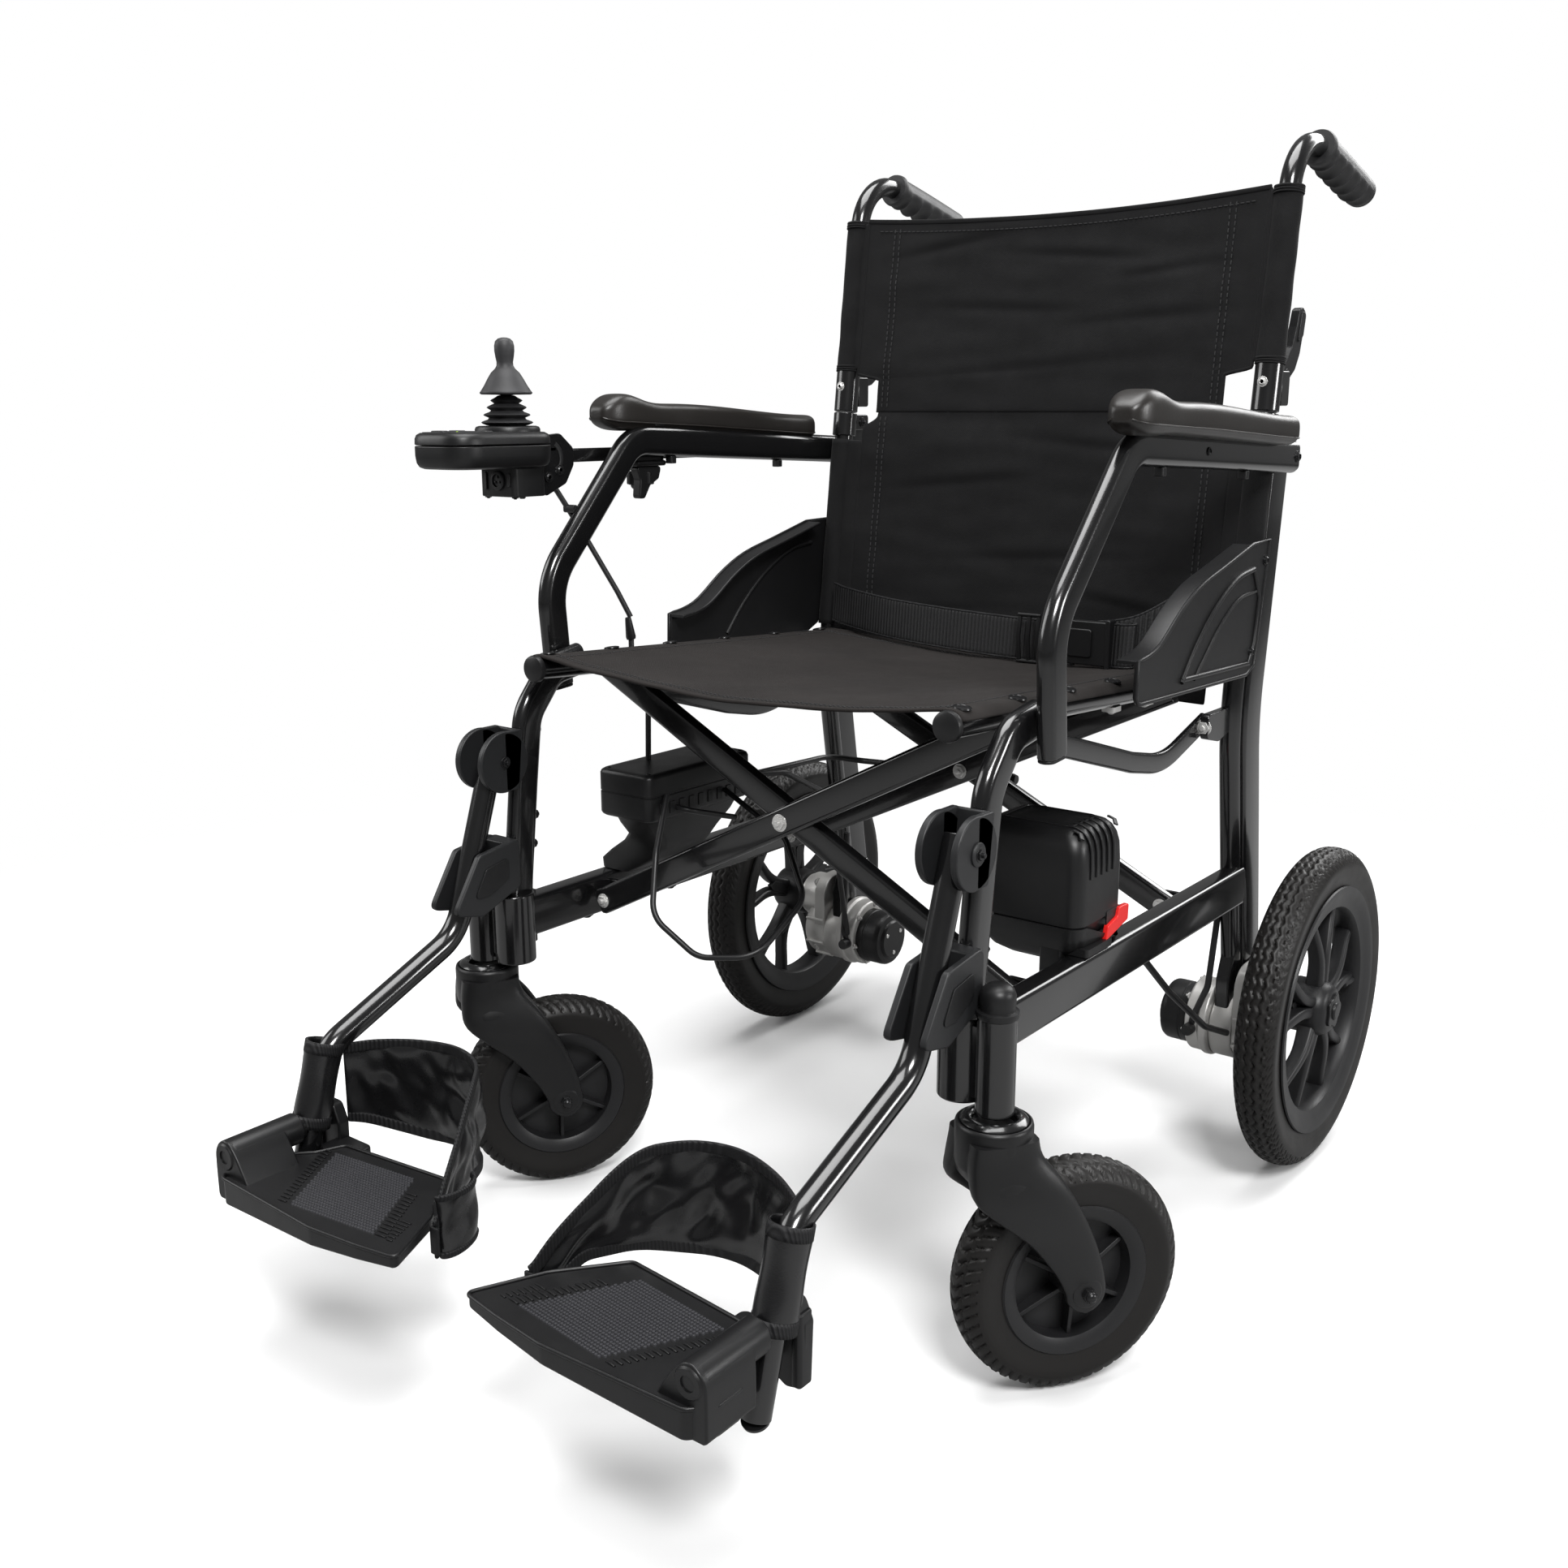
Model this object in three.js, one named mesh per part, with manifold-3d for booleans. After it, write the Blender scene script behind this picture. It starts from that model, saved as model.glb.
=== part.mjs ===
// Folding power wheelchair: a cross-brace frame on two 12 inch drive wheels and two 7 inch casters.
// Units are millimetres, +Z up. The occupant faces -Y, and +X is the occupant's left. Every piece is
// drawn from a point on the floor midway between the drive wheels, under their axles, and at the end
// the whole chair is moved so that the origin is at the bottom centre of its bounding box.

import * as THREE from 'three';
import { mergeVertices } from 'three/addons/utils/BufferGeometryUtils.js';
import Module from 'manifold-3d';

const wasm = await Module();
wasm.setup();

// ---------- driving dimensions ----------
const GAP = 0.4;                    // clearance between separate pieces
const REAR_R = 152.5;               // drive wheel radius, 12 inch
const REAR_X = 306;                 // drive wheel half track
const REAR_WIDTH = 42;
const CASTER_R = 89.5;              // caster radius, 7 inch
const CASTER_WIDTH = 42;
const STEM_X = 263.4;               // caster stem half track
const STEM_Y = -518;
const CASTER_TRAIL = 61;
const CASTER_TURN = -33;            // degrees both casters are swivelled at rest
const RAIL_X = 233;                 // lower rail centre
const RAIL_LOW = 246;
const RAIL_HIGH = 283;
const LEG_X = 232;                  // front leg centre
const POST_X = 229;                 // back tube centre
const TUBE_R = 9.5;                 // 19 mm frame tube
const PIVOT_X = 206;                // brace pivots and seat rails, half width
const PIVOT_Z = 265;                // lower brace pivots
const CROSS_Z = 366.75;             // centre brace pivot
const BRACE_FRONT = -412;           // mid plane of the front pair of bars
const BRACE_REAR = -130;            // mid plane of the rear pair of bars
const SEAT_FRONT = -497;
const SEAT_REAR = -78;
const SEAT_FRONT_Z = 490;           // seat rail centre at its front end
const SEAT_SLOPE = -0.096;          // seat rail fall per mm towards the back
const HANGER_X = 233;
const HANGER_TUBE_R = 10;
const HANGER_PIVOT = [-528, 412];
const PLATE_TOP = 140;              // footplate top face
const HINGE_Z = 154;                // footplate hinge axis
const PLATE_PIN_R = 4;
const ARM_X = 250;                  // armrest tube centre
const PAD_X = 259.5;
const PAD_HALF = 17.5;
const ARM_PIVOT = [-5, 662];
const ARM_PIN_R = 5;
const SLEEVE_Z = 725;               // middle of the sleeve on the folding back tube
const FOLD_Z = 700;                 // where the back tube divides
const CONTROL_X = -270;             // joystick side, outboard of the right armrest
const CLAMP_Y = [-314, -274];       // clamp that the control arm slides through
const BAR_Z = 664;                  // control arm centre
const STICK_Y = -460;
const BOX_Y = -488.5;               // middle of the controller box
const BOX_LENGTH = 113;
const BOX_WIDTH = 71;
const BOX_TOP = 686;
const PARTING_Z = 675;              // top of the box's lower half

// ---------- finishes ----------
function finish(color, roughness, metalness) {
  return new THREE.MeshStandardMaterial({ color, roughness, metalness });
}

const PAINT = () => finish(0x0b0b0c, 0.25, 0.4);
const PLASTIC = () => finish(0x17181a, 0.5, 0);
const GREY_PLASTIC = () => finish(0x33363a, 0.55, 0);
const RUBBER = () => finish(0x2a2725, 0.85, 0);
const RIM = () => finish(0x1c1d1f, 0.4, 0);
const FABRIC = () => finish(0x101114, 0.95, 0);
const PAD = () => finish(0x1d1916, 0.4, 0);
const CAST = () => finish(0x9b9a96, 0.45, 0.8);
const RED = () => finish(0xd3161a, 0.4, 0);

// ---------- solids ----------
function solid(geometry) {
  const bare = geometry.index ? geometry.toNonIndexed() : geometry.clone();
  bare.deleteAttribute('normal');
  bare.deleteAttribute('uv');
  const merged = mergeVertices(bare, 1e-4);
  const mesh = new wasm.Mesh({
    numProp: 3,
    vertProperties: new Float32Array(merged.attributes.position.array),
    triVerts: new Uint32Array(merged.index.array),
  });
  return new wasm.Manifold(mesh);
}

function join(...geometries) {
  return geometries.map(solid).reduce((whole, piece) => whole.add(piece));
}

function geometryOf(manifold) {
  const mesh = manifold.getMesh();
  const geometry = new THREE.BufferGeometry();
  const corners = new Float32Array(mesh.vertProperties);
  geometry.setAttribute('position', new THREE.BufferAttribute(corners, 3));
  geometry.setIndex(new THREE.BufferAttribute(new Uint32Array(mesh.triVerts), 1));
  return geometry;
}

// The mirror image in x = 0, with its faces still pointing out.
function mirrored(geometry) {
  const copy = geometry.index ? geometry.toNonIndexed() : geometry.clone();
  copy.applyMatrix4(new THREE.Matrix4().makeScale(-1, 1, 1));
  const position = copy.attributes.position;
  const a = new THREE.Vector3();
  const b = new THREE.Vector3();
  for (let i = 0; i < position.count; i += 3) {
    a.fromBufferAttribute(position, i + 1);
    b.fromBufferAttribute(position, i + 2);
    position.setXYZ(i + 1, b.x, b.y, b.z);
    position.setXYZ(i + 2, a.x, a.y, a.z);
  }
  copy.deleteAttribute('normal');
  copy.deleteAttribute('uv');
  return mergeVertices(copy, 1e-4);
}

const chair = new THREE.Group();

function piece(name, shape, material, parent = chair) {
  const geometry = shape.isBufferGeometry ? shape : geometryOf(shape);
  const mesh = new THREE.Mesh(geometry, material);
  mesh.name = name;
  parent.add(mesh);
  return mesh;
}

// A left piece and its mirror image on the right.
function pair(name, shape, material) {
  const left = shape.isBufferGeometry ? shape : geometryOf(shape);
  piece(`${name}_left`, left, material());
  piece(`${name}_right`, mirrored(left), material());
}

// ---------- shapes ----------
const at = (geometry, x, y, z) => geometry.translate(x, y, z);

function box(x0, x1, y0, y1, z0, z1) {
  const geometry = new THREE.BoxGeometry(x1 - x0, y1 - y0, z1 - z0);
  return at(geometry, (x0 + x1) / 2, (y0 + y1) / 2, (z0 + z1) / 2);
}

// A cylinder along 'x', 'y' or 'z' from one coordinate to another.
function rod(axis, radius, from, to, u, v, sides = 16) {
  const geometry = new THREE.CylinderGeometry(radius, radius, to - from, sides);
  const middle = (from + to) / 2;
  if (axis === 'x') return at(geometry.rotateZ(Math.PI / 2), middle, u, v);
  if (axis === 'y') return at(geometry, u, middle, v);
  return at(geometry.rotateX(Math.PI / 2), u, v, middle);
}

function roundedRect(width, height, radius) {
  const w = width / 2;
  const h = height / 2;
  const shape = new THREE.Shape();
  shape.moveTo(-w + radius, -h);
  shape.lineTo(w - radius, -h);
  shape.absarc(w - radius, -h + radius, radius, -Math.PI / 2, 0);
  shape.lineTo(w, h - radius);
  shape.absarc(w - radius, h - radius, radius, 0, Math.PI / 2);
  shape.lineTo(-w + radius, h);
  shape.absarc(-w + radius, h - radius, radius, Math.PI / 2, Math.PI);
  shape.lineTo(-w, -h + radius);
  shape.absarc(-w + radius, -h + radius, radius, Math.PI, Math.PI * 1.5);
  return shape;
}

function disc(radius) {
  const shape = new THREE.Shape();
  shape.absarc(0, 0, radius, 0, Math.PI * 2);
  return shape;
}

function outline(points) {
  return new THREE.Shape(points.map(([u, v]) => new THREE.Vector2(u, v)));
}

// An outline in (y, z) extruded along x from one side to the other.
function slabX(shape, x0, x1, segments = 6, bevel = 0) {
  const geometry = new THREE.ExtrudeGeometry(shape, {
    depth: x1 - x0 - 2 * bevel,
    curveSegments: segments,
    bevelEnabled: bevel > 0,
    bevelThickness: bevel,
    bevelSize: bevel,
    bevelOffset: -bevel,
    bevelSegments: 1,
  });
  const turn = new THREE.Matrix4().makeBasis(
    new THREE.Vector3(0, 1, 0), new THREE.Vector3(0, 0, 1), new THREE.Vector3(1, 0, 0));
  return at(geometry.applyMatrix4(turn), x0 + bevel, 0, 0);
}

// An outline in (x, y) extruded upwards.
function slabZ(shape, z0, z1, segments = 6, bevel = 0) {
  const geometry = new THREE.ExtrudeGeometry(shape, {
    depth: z1 - z0 - 2 * bevel,
    curveSegments: segments,
    bevelEnabled: bevel > 0,
    bevelThickness: bevel,
    bevelSize: bevel,
    bevelOffset: -bevel,
    bevelSegments: 1,
  });
  return at(geometry, 0, 0, z0 + bevel);
}

// Straight runs joined by smooth bends of the given radius.
function bentPath(points, radii) {
  const corners = points.map((p) => new THREE.Vector3(...p));
  const path = new THREE.CurvePath();
  let start = corners[0];
  for (let i = 1; i < corners.length - 1; i += 1) {
    const into = corners[i].clone().sub(corners[i - 1]).normalize();
    const out = corners[i + 1].clone().sub(corners[i]).normalize();
    const reach = radii[i - 1] * Math.tan(into.angleTo(out) / 2);
    const bendStart = corners[i].clone().addScaledVector(into, -reach);
    const bendEnd = corners[i].clone().addScaledVector(out, reach);
    path.add(new THREE.LineCurve3(start, bendStart));
    path.add(new THREE.QuadraticBezierCurve3(bendStart, corners[i], bendEnd));
    start = bendEnd;
  }
  path.add(new THREE.LineCurve3(start, corners[corners.length - 1]));
  return path;
}

function tube(shape, path, spacing = 18, segments = 4) {
  const steps = Math.max(2, Math.round(path.getLength() / spacing));
  return new THREE.ExtrudeGeometry(shape, {
    steps,
    curveSegments: segments,
    bevelEnabled: false,
    extrudePath: path,
  });
}

// A ring of revolution about the x axis; the profile is a closed list of (radius, x) points.
function ringX(profile, sides, x, y, z) {
  const points = profile.map(([r, h]) => new THREE.Vector2(r, h));
  points.push(points[0].clone());
  return at(new THREE.LatheGeometry(points, sides).rotateZ(-Math.PI / 2), x, y, z);
}

// A solid of revolution about the z axis from a list of (radius, z) points.
function turned(profile, sides) {
  const points = profile.map(([r, h]) => new THREE.Vector2(r, h));
  return new THREE.LatheGeometry(points, sides).rotateX(Math.PI / 2);
}

// Centre lines of the sloping tubes.
const seatRailZ = (y) => SEAT_FRONT_Z + SEAT_SLOPE * (y - SEAT_FRONT);
const backTubeY = (z) => -50 + (z - 425) * 0.1223;
const legTubeY = (z) => -50 - (z - 425) * 0.169;

// ---------- side frame ----------
function sideFrame() {
  const rail = box(RAIL_X - 10, RAIL_X + 10, -500, -30, RAIL_LOW, RAIL_HIGH);
  const leg = tube(roundedRect(15, 28, 7), bentPath([
    [LEG_X, -509, 226], [LEG_X, -504, 300], [LEG_X, -488, 440], [LEG_X, -452, 478], [LEG_X, -428, 485],
  ], [60, 60, 30]), 30, 1);
  const legSocket = slabZ(roundedRect(34, 40, 15), 226, 292, 2);
  const stem = rod('z', 14, 224, 296, STEM_X, STEM_Y, 16);
  const backTube = tube(disc(TUBE_R), bentPath([
    [POST_X, legTubeY(190), 190], [POST_X, -50, 425], [POST_X, backTubeY(FOLD_Z), FOLD_Z],
  ], [200]), 60, 6);
  const post = tube(roundedRect(15, 36, 3), bentPath([
    [POST_X + 5, legTubeY(140) + 24, 140], [POST_X + 5, -27, 425], [POST_X + 5, backTubeY(684) + 22, 684],
  ], [200]), 70, 1);
  const gearPlate = slabX(outline([
    [-26, 128], [30, 128], [34, 168], [26, 200], [-14, 200], [-28, 168],
  ]), 221, 236, 2);
  const braceLug = (y) => box(199, RAIL_X - 8, y, y + 6, PIVOT_Z - 13, PIVOT_Z + 11);
  const linkLug = box(223.5, POST_X + 3, -102, -44, 416, 440);
  const antiTip = tube(disc(10), bentPath([
    [POST_X + 3, 18, 152], [POST_X + 3, 44, 112], [POST_X + 3, 136, 106],
  ], [30]), 20, 5);
  const antiTipFoot = rod('y', 13.5, 118, 142, POST_X + 3, 106, 16);
  const frame = join(
    rail, leg, at(legSocket, LEG_X + 1, -511, 0), stem, at(stemCap(), STEM_X, STEM_Y, 0), backTube,
    post, gearPlate, braceLug(BRACE_FRONT + 13.6), braceLug(BRACE_REAR + 13.6), linkLug, antiTip,
    antiTipFoot, ...hangerCatch());
  return frame.subtract(solid(rod('x', ARM_PIN_R + GAP, 215, 248, ...ARM_PIVOT, 12)));
}

// The domed cap on top of the caster stem housing.
function stemCap() {
  return turned([[0, 290], [14.6, 290], [14.6, 300], [12, 302], [12, 311], [8.5, 318], [0, 320]], 16);
}

// Two cheeks and a web that locate the footrest tube in front of the leg.
function hangerCatch() {
  const cheek = outline([[-590, 288], [-560, 336], [-516, 342], [-516, 300], [-560, 284]]);
  const web = box(216, 250, -530, -512, 300, 342);
  return [slabX(cheek, 244.5, 251, 1), slabX(cheek, 215, 221.5, 1), web];
}

function skirtGuard() {
  const edge = new THREE.Shape();
  edge.moveTo(-284, 481);
  edge.lineTo(-62, 470);
  edge.quadraticCurveTo(-46, 476, -42, 494);
  edge.lineTo(-26, 590);
  edge.bezierCurveTo(-90, 590, -170, 572, -204, 546);
  edge.bezierCurveTo(-240, 520, -262, 514, -284, 512);
  const panel = slabX(edge, 242, 246, 6);
  const lip = new THREE.Shape();
  lip.moveTo(-284, 507);
  lip.bezierCurveTo(-260, 509, -236, 516, -201, 541);
  lip.bezierCurveTo(-168, 566, -110, 583, -64, 585);
  lip.lineTo(-64, 590);
  lip.bezierCurveTo(-112, 588, -172, 571, -204, 546);
  lip.bezierCurveTo(-240, 520, -262, 514, -284, 512);
  return join(panel, slabX(lip, 226, 243, 6));
}

pair('side_frame', sideFrame(), PAINT);
pair('skirt_guard', skirtGuard(), PLASTIC);

// ---------- drive units ----------
function gearbox() {
  const flange = slabX(roundedRect(66, 92, 22), 242.5, 256, 2);
  const neck = rod('x', 26, 250, 284, 0, REAR_R, 16);
  const casting = rod('x', 34, 242.5, 270, 0, 120, 16);
  const axle = rod('x', 7, 284, 331, 0, REAR_R, 12);
  return join(at(flange, 0, 0, 138), neck, casting, axle);
}

function motor() {
  const cover = rod('x', 31, 186, 220.6, 0, 118, 20);
  const cap = rod('x', 22, 182, 186, 0, 118, 20);
  return join(cover, cap);
}

pair('gearbox', gearbox(), CAST);
pair('motor', motor(), GREY_PLASTIC);

// ---------- drive wheels ----------
const TYRE_PROFILE = [
  [118, -15], [136, -21], [149, -16], [152.5, -6], [152.5, 6], [149, 16], [136, 21], [118, 15],
];
const WHEEL_RIM_PROFILE = [[97, -17], [116, -17.5], [116, 17.5], [97, 17], [101, 0]];

function driveRim() {
  const rim = ringX(WHEEL_RIM_PROFILE, 32, REAR_X, 0, REAR_R);
  const hub = rod('x', 24, REAR_X - 20, REAR_X + 20, 0, REAR_R, 16);
  const fork = [
    [-12, 18], [12, 18], [9, 58], [26, 100], [14, 101], [0, 66], [-14, 101], [-26, 100], [-9, 58],
  ];
  const spokes = [];
  for (let i = 0; i < 5; i += 1) {
    const spoke = slabX(outline(fork), -9, 9, 1);
    spokes.push(at(spoke.rotateX(i * Math.PI * 0.4), REAR_X, 0, REAR_R));
  }
  const wheel = join(rim, hub, ...spokes);
  return wheel.subtract(solid(rod('x', 7 + GAP, REAR_X - 30, REAR_X + 30, 0, REAR_R, 12)));
}

pair('drive_tyre', ringX(TYRE_PROFILE, 32, REAR_X, 0, REAR_R), RUBBER);
pair('drive_rim', driveRim(), RIM);

// ---------- casters ----------
function casterFork() {
  const collar = rod('z', 21, 204, 214, 0, 0, 16);
  const steerer = rod('z', 9, 206, 223.6, 0, 0, 16);
  const crown = slabZ(roundedRect(70, 50, 22), 184, 205, 2);
  const side = new THREE.Shape();
  side.moveTo(-24, 204);
  side.lineTo(25, 204);
  side.bezierCurveTo(30, 176, 66, 160, 80, 104);
  side.bezierCurveTo(84, 82, 76, 74, CASTER_TRAIL, 74);
  side.bezierCurveTo(40, 78, 34, 120, 4, 138);
  side.bezierCurveTo(-22, 152, -24, 180, -24, 204);
  const axle = rod('x', 5, -43, 43, CASTER_TRAIL, CASTER_R, 12);
  return join(collar, steerer, crown, slabX(side, 26, 33, 4), slabX(side, -33, -26, 4), axle);
}

const CASTER_TYRE_PROFILE = [
  [58.6, -17], [74, -21], [86, -16], [89.5, -6], [89.5, 6], [86, 16], [74, 21], [58.6, 17],
];

function casterHub() {
  const rim = ringX([[46, -16], [57, -17.5], [57, 17.5], [46, 16]], 24, 0, CASTER_TRAIL, CASTER_R);
  const hub = rod('x', 13, -24, 24, CASTER_TRAIL, CASTER_R, 12);
  const web = rod('x', 48, -2, 2, CASTER_TRAIL, CASTER_R, 20);
  const ribs = [];
  for (let i = 0; i < 3; i += 1) {
    ribs.push(at(box(-14, 14, -1.5, 1.5, -48, 48).rotateX(i * Math.PI / 3), 0, CASTER_TRAIL, CASTER_R));
  }
  return join(rim, hub, web, ...ribs).subtract(solid(rod('x', 5 + GAP, -40, 40, CASTER_TRAIL, CASTER_R, 12)));
}

for (const [side, sign] of [['left', 1], ['right', -1]]) {
  const caster = new THREE.Group();
  caster.position.set(sign * STEM_X, STEM_Y, 0);
  caster.rotation.z = THREE.MathUtils.degToRad(CASTER_TURN);
  chair.add(caster);
  piece(`caster_fork_${side}`, casterFork(), PLASTIC(), caster);
  piece(`caster_tyre_${side}`, ringX(CASTER_TYRE_PROFILE, 28, 0, CASTER_TRAIL, CASTER_R), RUBBER(), caster);
  piece(`caster_hub_${side}`, casterHub(), RIM(), caster);
}

// ---------- footrests ----------
function hangerBracket() {
  const cheekShape = new THREE.Shape();
  cheekShape.absarc(HANGER_PIVOT[0], HANGER_PIVOT[1], 26, Math.PI * 0.5, Math.PI * 1.5);
  cheekShape.lineTo(-512, HANGER_PIVOT[1] - 26);
  cheekShape.lineTo(-506.5, HANGER_PIVOT[1] + 26);
  const cheeks = [slabX(cheekShape, 244, 250, 8), slabX(cheekShape, 216, 222, 8)];
  const back = slabX(outline([[-513, 386], [-510.8, 386], [-505, 438], [-509, 438]]), 216, 250, 1);
  const bolt = rod('x', 4, 213, 253, ...HANGER_PIVOT, 12);
  return join(...cheeks, back, bolt);
}

function hangerTube() {
  const path = bentPath([
    [HANGER_X, -525, 423], [HANGER_X, -577, 268], [HANGER_X, -716, 209], [HANGER_X, -749, 96],
  ], [45, 40]);
  const shaft = tube(disc(HANGER_TUBE_R), path, 20, 5);
  const pin = rod('y', PLATE_PIN_R, -775, -708, HANGER_X, HINGE_Z, 12);
  return join(shaft, pin).subtract(solid(rod('x', 4 + GAP, 210, 256, ...HANGER_PIVOT, 12)));
}

function footplate() {
  const plan = new THREE.Shape();
  plan.moveTo(38, -810);
  plan.quadraticCurveTo(34, -818, 44, -820);
  plan.lineTo(118, -829);
  plan.lineTo(234, -819);
  plan.quadraticCurveTo(246, -817, 246, -808);
  plan.lineTo(246, -779);
  plan.lineTo(216, -775);
  plan.lineTo(208, -728);
  plan.lineTo(96, -716);
  plan.lineTo(61, -757);
  const deck = slabZ(plan, PLATE_TOP - 22, PLATE_TOP, 3, 2);
  const boss = rod('y', 13, -812, -748, HANGER_X, HINGE_Z, 16);
  const saddle = box(220, 246, -812, -775, 122, HINGE_Z);
  const lug = rod('y', 12.5, -716.4, -708, HANGER_X, HINGE_Z, 16);
  const web = box(216, 228, -716.4, -708, 122, HINGE_Z);
  const arm = box(190, 222, -732, -708, 122, 138);
  const whole = join(deck, boss, saddle, lug, web, arm);
  return whole.subtract(solid(rod('y', PLATE_PIN_R + GAP, -777, -700, HANGER_X, HINGE_Z, 12)));
}

// A band round the back of the heel, from the footrest tube to the inner edge of the footplate.
function heelStrap() {
  const curve = new THREE.CatmullRomCurve3([
    [237, -702, 170], [222, -686, 175], [186, -668, 183], [136, -664, 180], [96, -684, 166], [66, -706, 158],
  ].map((p) => new THREE.Vector3(...p)));
  return tube(roundedRect(56, 4, 1.5), curve, 16, 1);
}

pair('hanger_bracket', hangerBracket(), GREY_PLASTIC);
pair('hanger_tube', hangerTube(), PAINT);
pair('footplate', footplate(), PLASTIC);
pair('heel_strap', heelStrap(), FABRIC);

// ---------- cross brace and seat ----------
// A bar leans from a lower pivot up to the seat rail on the other side; lean is +1 towards +X.
function braceBar(lean, y0, y1, topZ) {
  const from = new THREE.Vector2(-lean * PIVOT_X, PIVOT_Z);
  const to = new THREE.Vector2(lean * PIVOT_X, topZ);
  const length = from.distanceTo(to);
  const angle = Math.atan2(to.y - from.y, to.x - from.x);
  const bar = new THREE.BoxGeometry(length + 12, y1 - y0, 24);
  bar.rotateY(-angle);
  return at(bar, 0, (y0 + y1) / 2, (from.y + to.y) / 2);
}

function brace(lean, offset) {
  const bars = [BRACE_FRONT, BRACE_REAR].map((y) => {
    const near = y + offset;
    return braceBar(lean, near, near + 12, seatRailZ(y) - 6);
  });
  const axis = bentPath([
    [lean * PIVOT_X, SEAT_FRONT, seatRailZ(SEAT_FRONT)], [lean * PIVOT_X, SEAT_REAR, seatRailZ(SEAT_REAR)],
  ], []);
  const plug = rod('y', 11, SEAT_FRONT - 5, SEAT_FRONT + 1, lean * PIVOT_X, SEAT_FRONT_Z, 16);
  return join(...bars, tube(disc(TUBE_R), axis, 420, 6), plug);
}

function seatSling() {
  const half = 214;
  const sag = 16;
  const flat = 199;
  const upper = new THREE.Shape();
  upper.moveTo(-half, 0);
  upper.lineTo(-flat, 0);
  upper.quadraticCurveTo(0, -2 * sag, flat, 0);
  upper.lineTo(half, 0);
  upper.lineTo(half, 3);
  upper.lineTo(flat, 3);
  upper.quadraticCurveTo(0, -2 * sag + 3, -flat, 3);
  upper.lineTo(-half, 3);
  const length = SEAT_REAR - SEAT_FRONT - 3;
  const sheet = new THREE.ExtrudeGeometry(upper, {
    depth: length,
    steps: 1,
    curveSegments: 8,
    bevelEnabled: false,
  });
  sheet.rotateX(Math.PI / 2);
  sheet.translate(0, length, TUBE_R + GAP + 0.2);
  sheet.rotateX(Math.atan(SEAT_SLOPE));
  return at(sheet, 0, SEAT_FRONT + 3, SEAT_FRONT_Z);
}

function seatStay() {
  return tube(roundedRect(6, 14, 2.5), bentPath([
    [218.5, -92, 428], [218.5, -200, 412], [218.5, -366, 457],
  ], [90]), 30, 1);
}

piece('cross_brace_a', brace(-1, 1), PAINT());
piece('cross_brace_b', brace(1, -13), PAINT());
piece('seat_sling', seatSling(), FABRIC());
pair('seat_stay', seatStay(), PAINT);

// ---------- battery and power module ----------
function batteryCradle() {
  const tray = box(142, RAIL_X - 10 - GAP, -356, -273, 262, 290);
  const bracket = box(206, RAIL_X - 10 - GAP, -386, -273, 244, 290);
  const saddle = box(206, RAIL_X + 9, -386, -302, RAIL_HIGH + GAP, 290);
  return join(tray, bracket, saddle);
}

function batteryPack() {
  const body = at(slabZ(roundedRect(98, 78, 12), 290.6, 386, 2, 3), 190, -314.5, 0);
  const pocket = box(212, 245, -282, -270, 288, 314);
  return solid(body).subtract(solid(pocket));
}

piece('battery_cradle', batteryCradle(), PLASTIC());
piece('battery_pack', batteryPack(), PLASTIC());
piece('battery_latch', box(214, 240, -281, -270.5, 293, 309.5), RED());

function powerModule() {
  const body = at(slabZ(roundedRect(64, 142, 8), 348, 392, 1, 2), -172, -360, 0);
  const funnel = slabX(outline([[-425, 350], [-296, 350], [-318, 312], [-396, 312]]), -202, -150, 1);
  const neck = box(-222, -190, -392, -322, RAIL_HIGH + GAP, 335);
  const saddle = box(-RAIL_X - 9, -206, -392, -322, RAIL_HIGH + GAP, 292);
  const bracket = box(-RAIL_X + 10 + GAP, -206, -392, -322, 244, 292);
  return join(body, funnel, neck, saddle, bracket);
}

piece('power_module', powerModule(), PLASTIC());

// ---------- armrests ----------
function armFrame() {
  const frame = tube(roundedRect(15, 28, 6), bentPath([
    [ARM_X, 12, 661], [ARM_X, -325, 677], [ARM_X, -436, 556], [ARM_X, -428, 462],
  ], [38, 60]), 28, 1);
  const pivotPin = rod('x', ARM_PIN_R, ARM_X - 24, ARM_X, ...ARM_PIVOT, 12);
  return join(frame, pivotPin);
}

function armPad() {
  const side = new THREE.Shape();
  side.moveTo(-44, 681);
  side.lineTo(-44, 698);
  side.bezierCurveTo(-52, 708, -120, 710, -190, 710);
  side.bezierCurveTo(-250, 708, -270, 712, -300, 717);
  side.bezierCurveTo(-340, 722, -352, 712, -352, 701);
  side.bezierCurveTo(-352, 690, -340, 688, -322, 693);
  side.lineTo(-310, 692.5);
  return slabX(side, PAD_X - PAD_HALF, PAD_X + PAD_HALF, 5, 4);
}

// The block under the right armrest that the control arm slides through.
function armClamp() {
  const block = box(CONTROL_X - 12, -ARM_X - 4, ...CLAMP_Y, BAR_Z - 12, BAR_Z + 12);
  const half = 6 + GAP;
  const slot = box(
    CONTROL_X - half, CONTROL_X + half, CLAMP_Y[0] - 5, CLAMP_Y[1] + 5, BAR_Z - half, BAR_Z + half);
  return solid(block).subtract(solid(slot));
}

piece('armrest_frame_left', armFrame(), PAINT());
piece('armrest_frame_right', solid(mirrored(geometryOf(armFrame()))).add(armClamp()), PAINT());
pair('arm_pad', armPad(), PAD);

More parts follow.
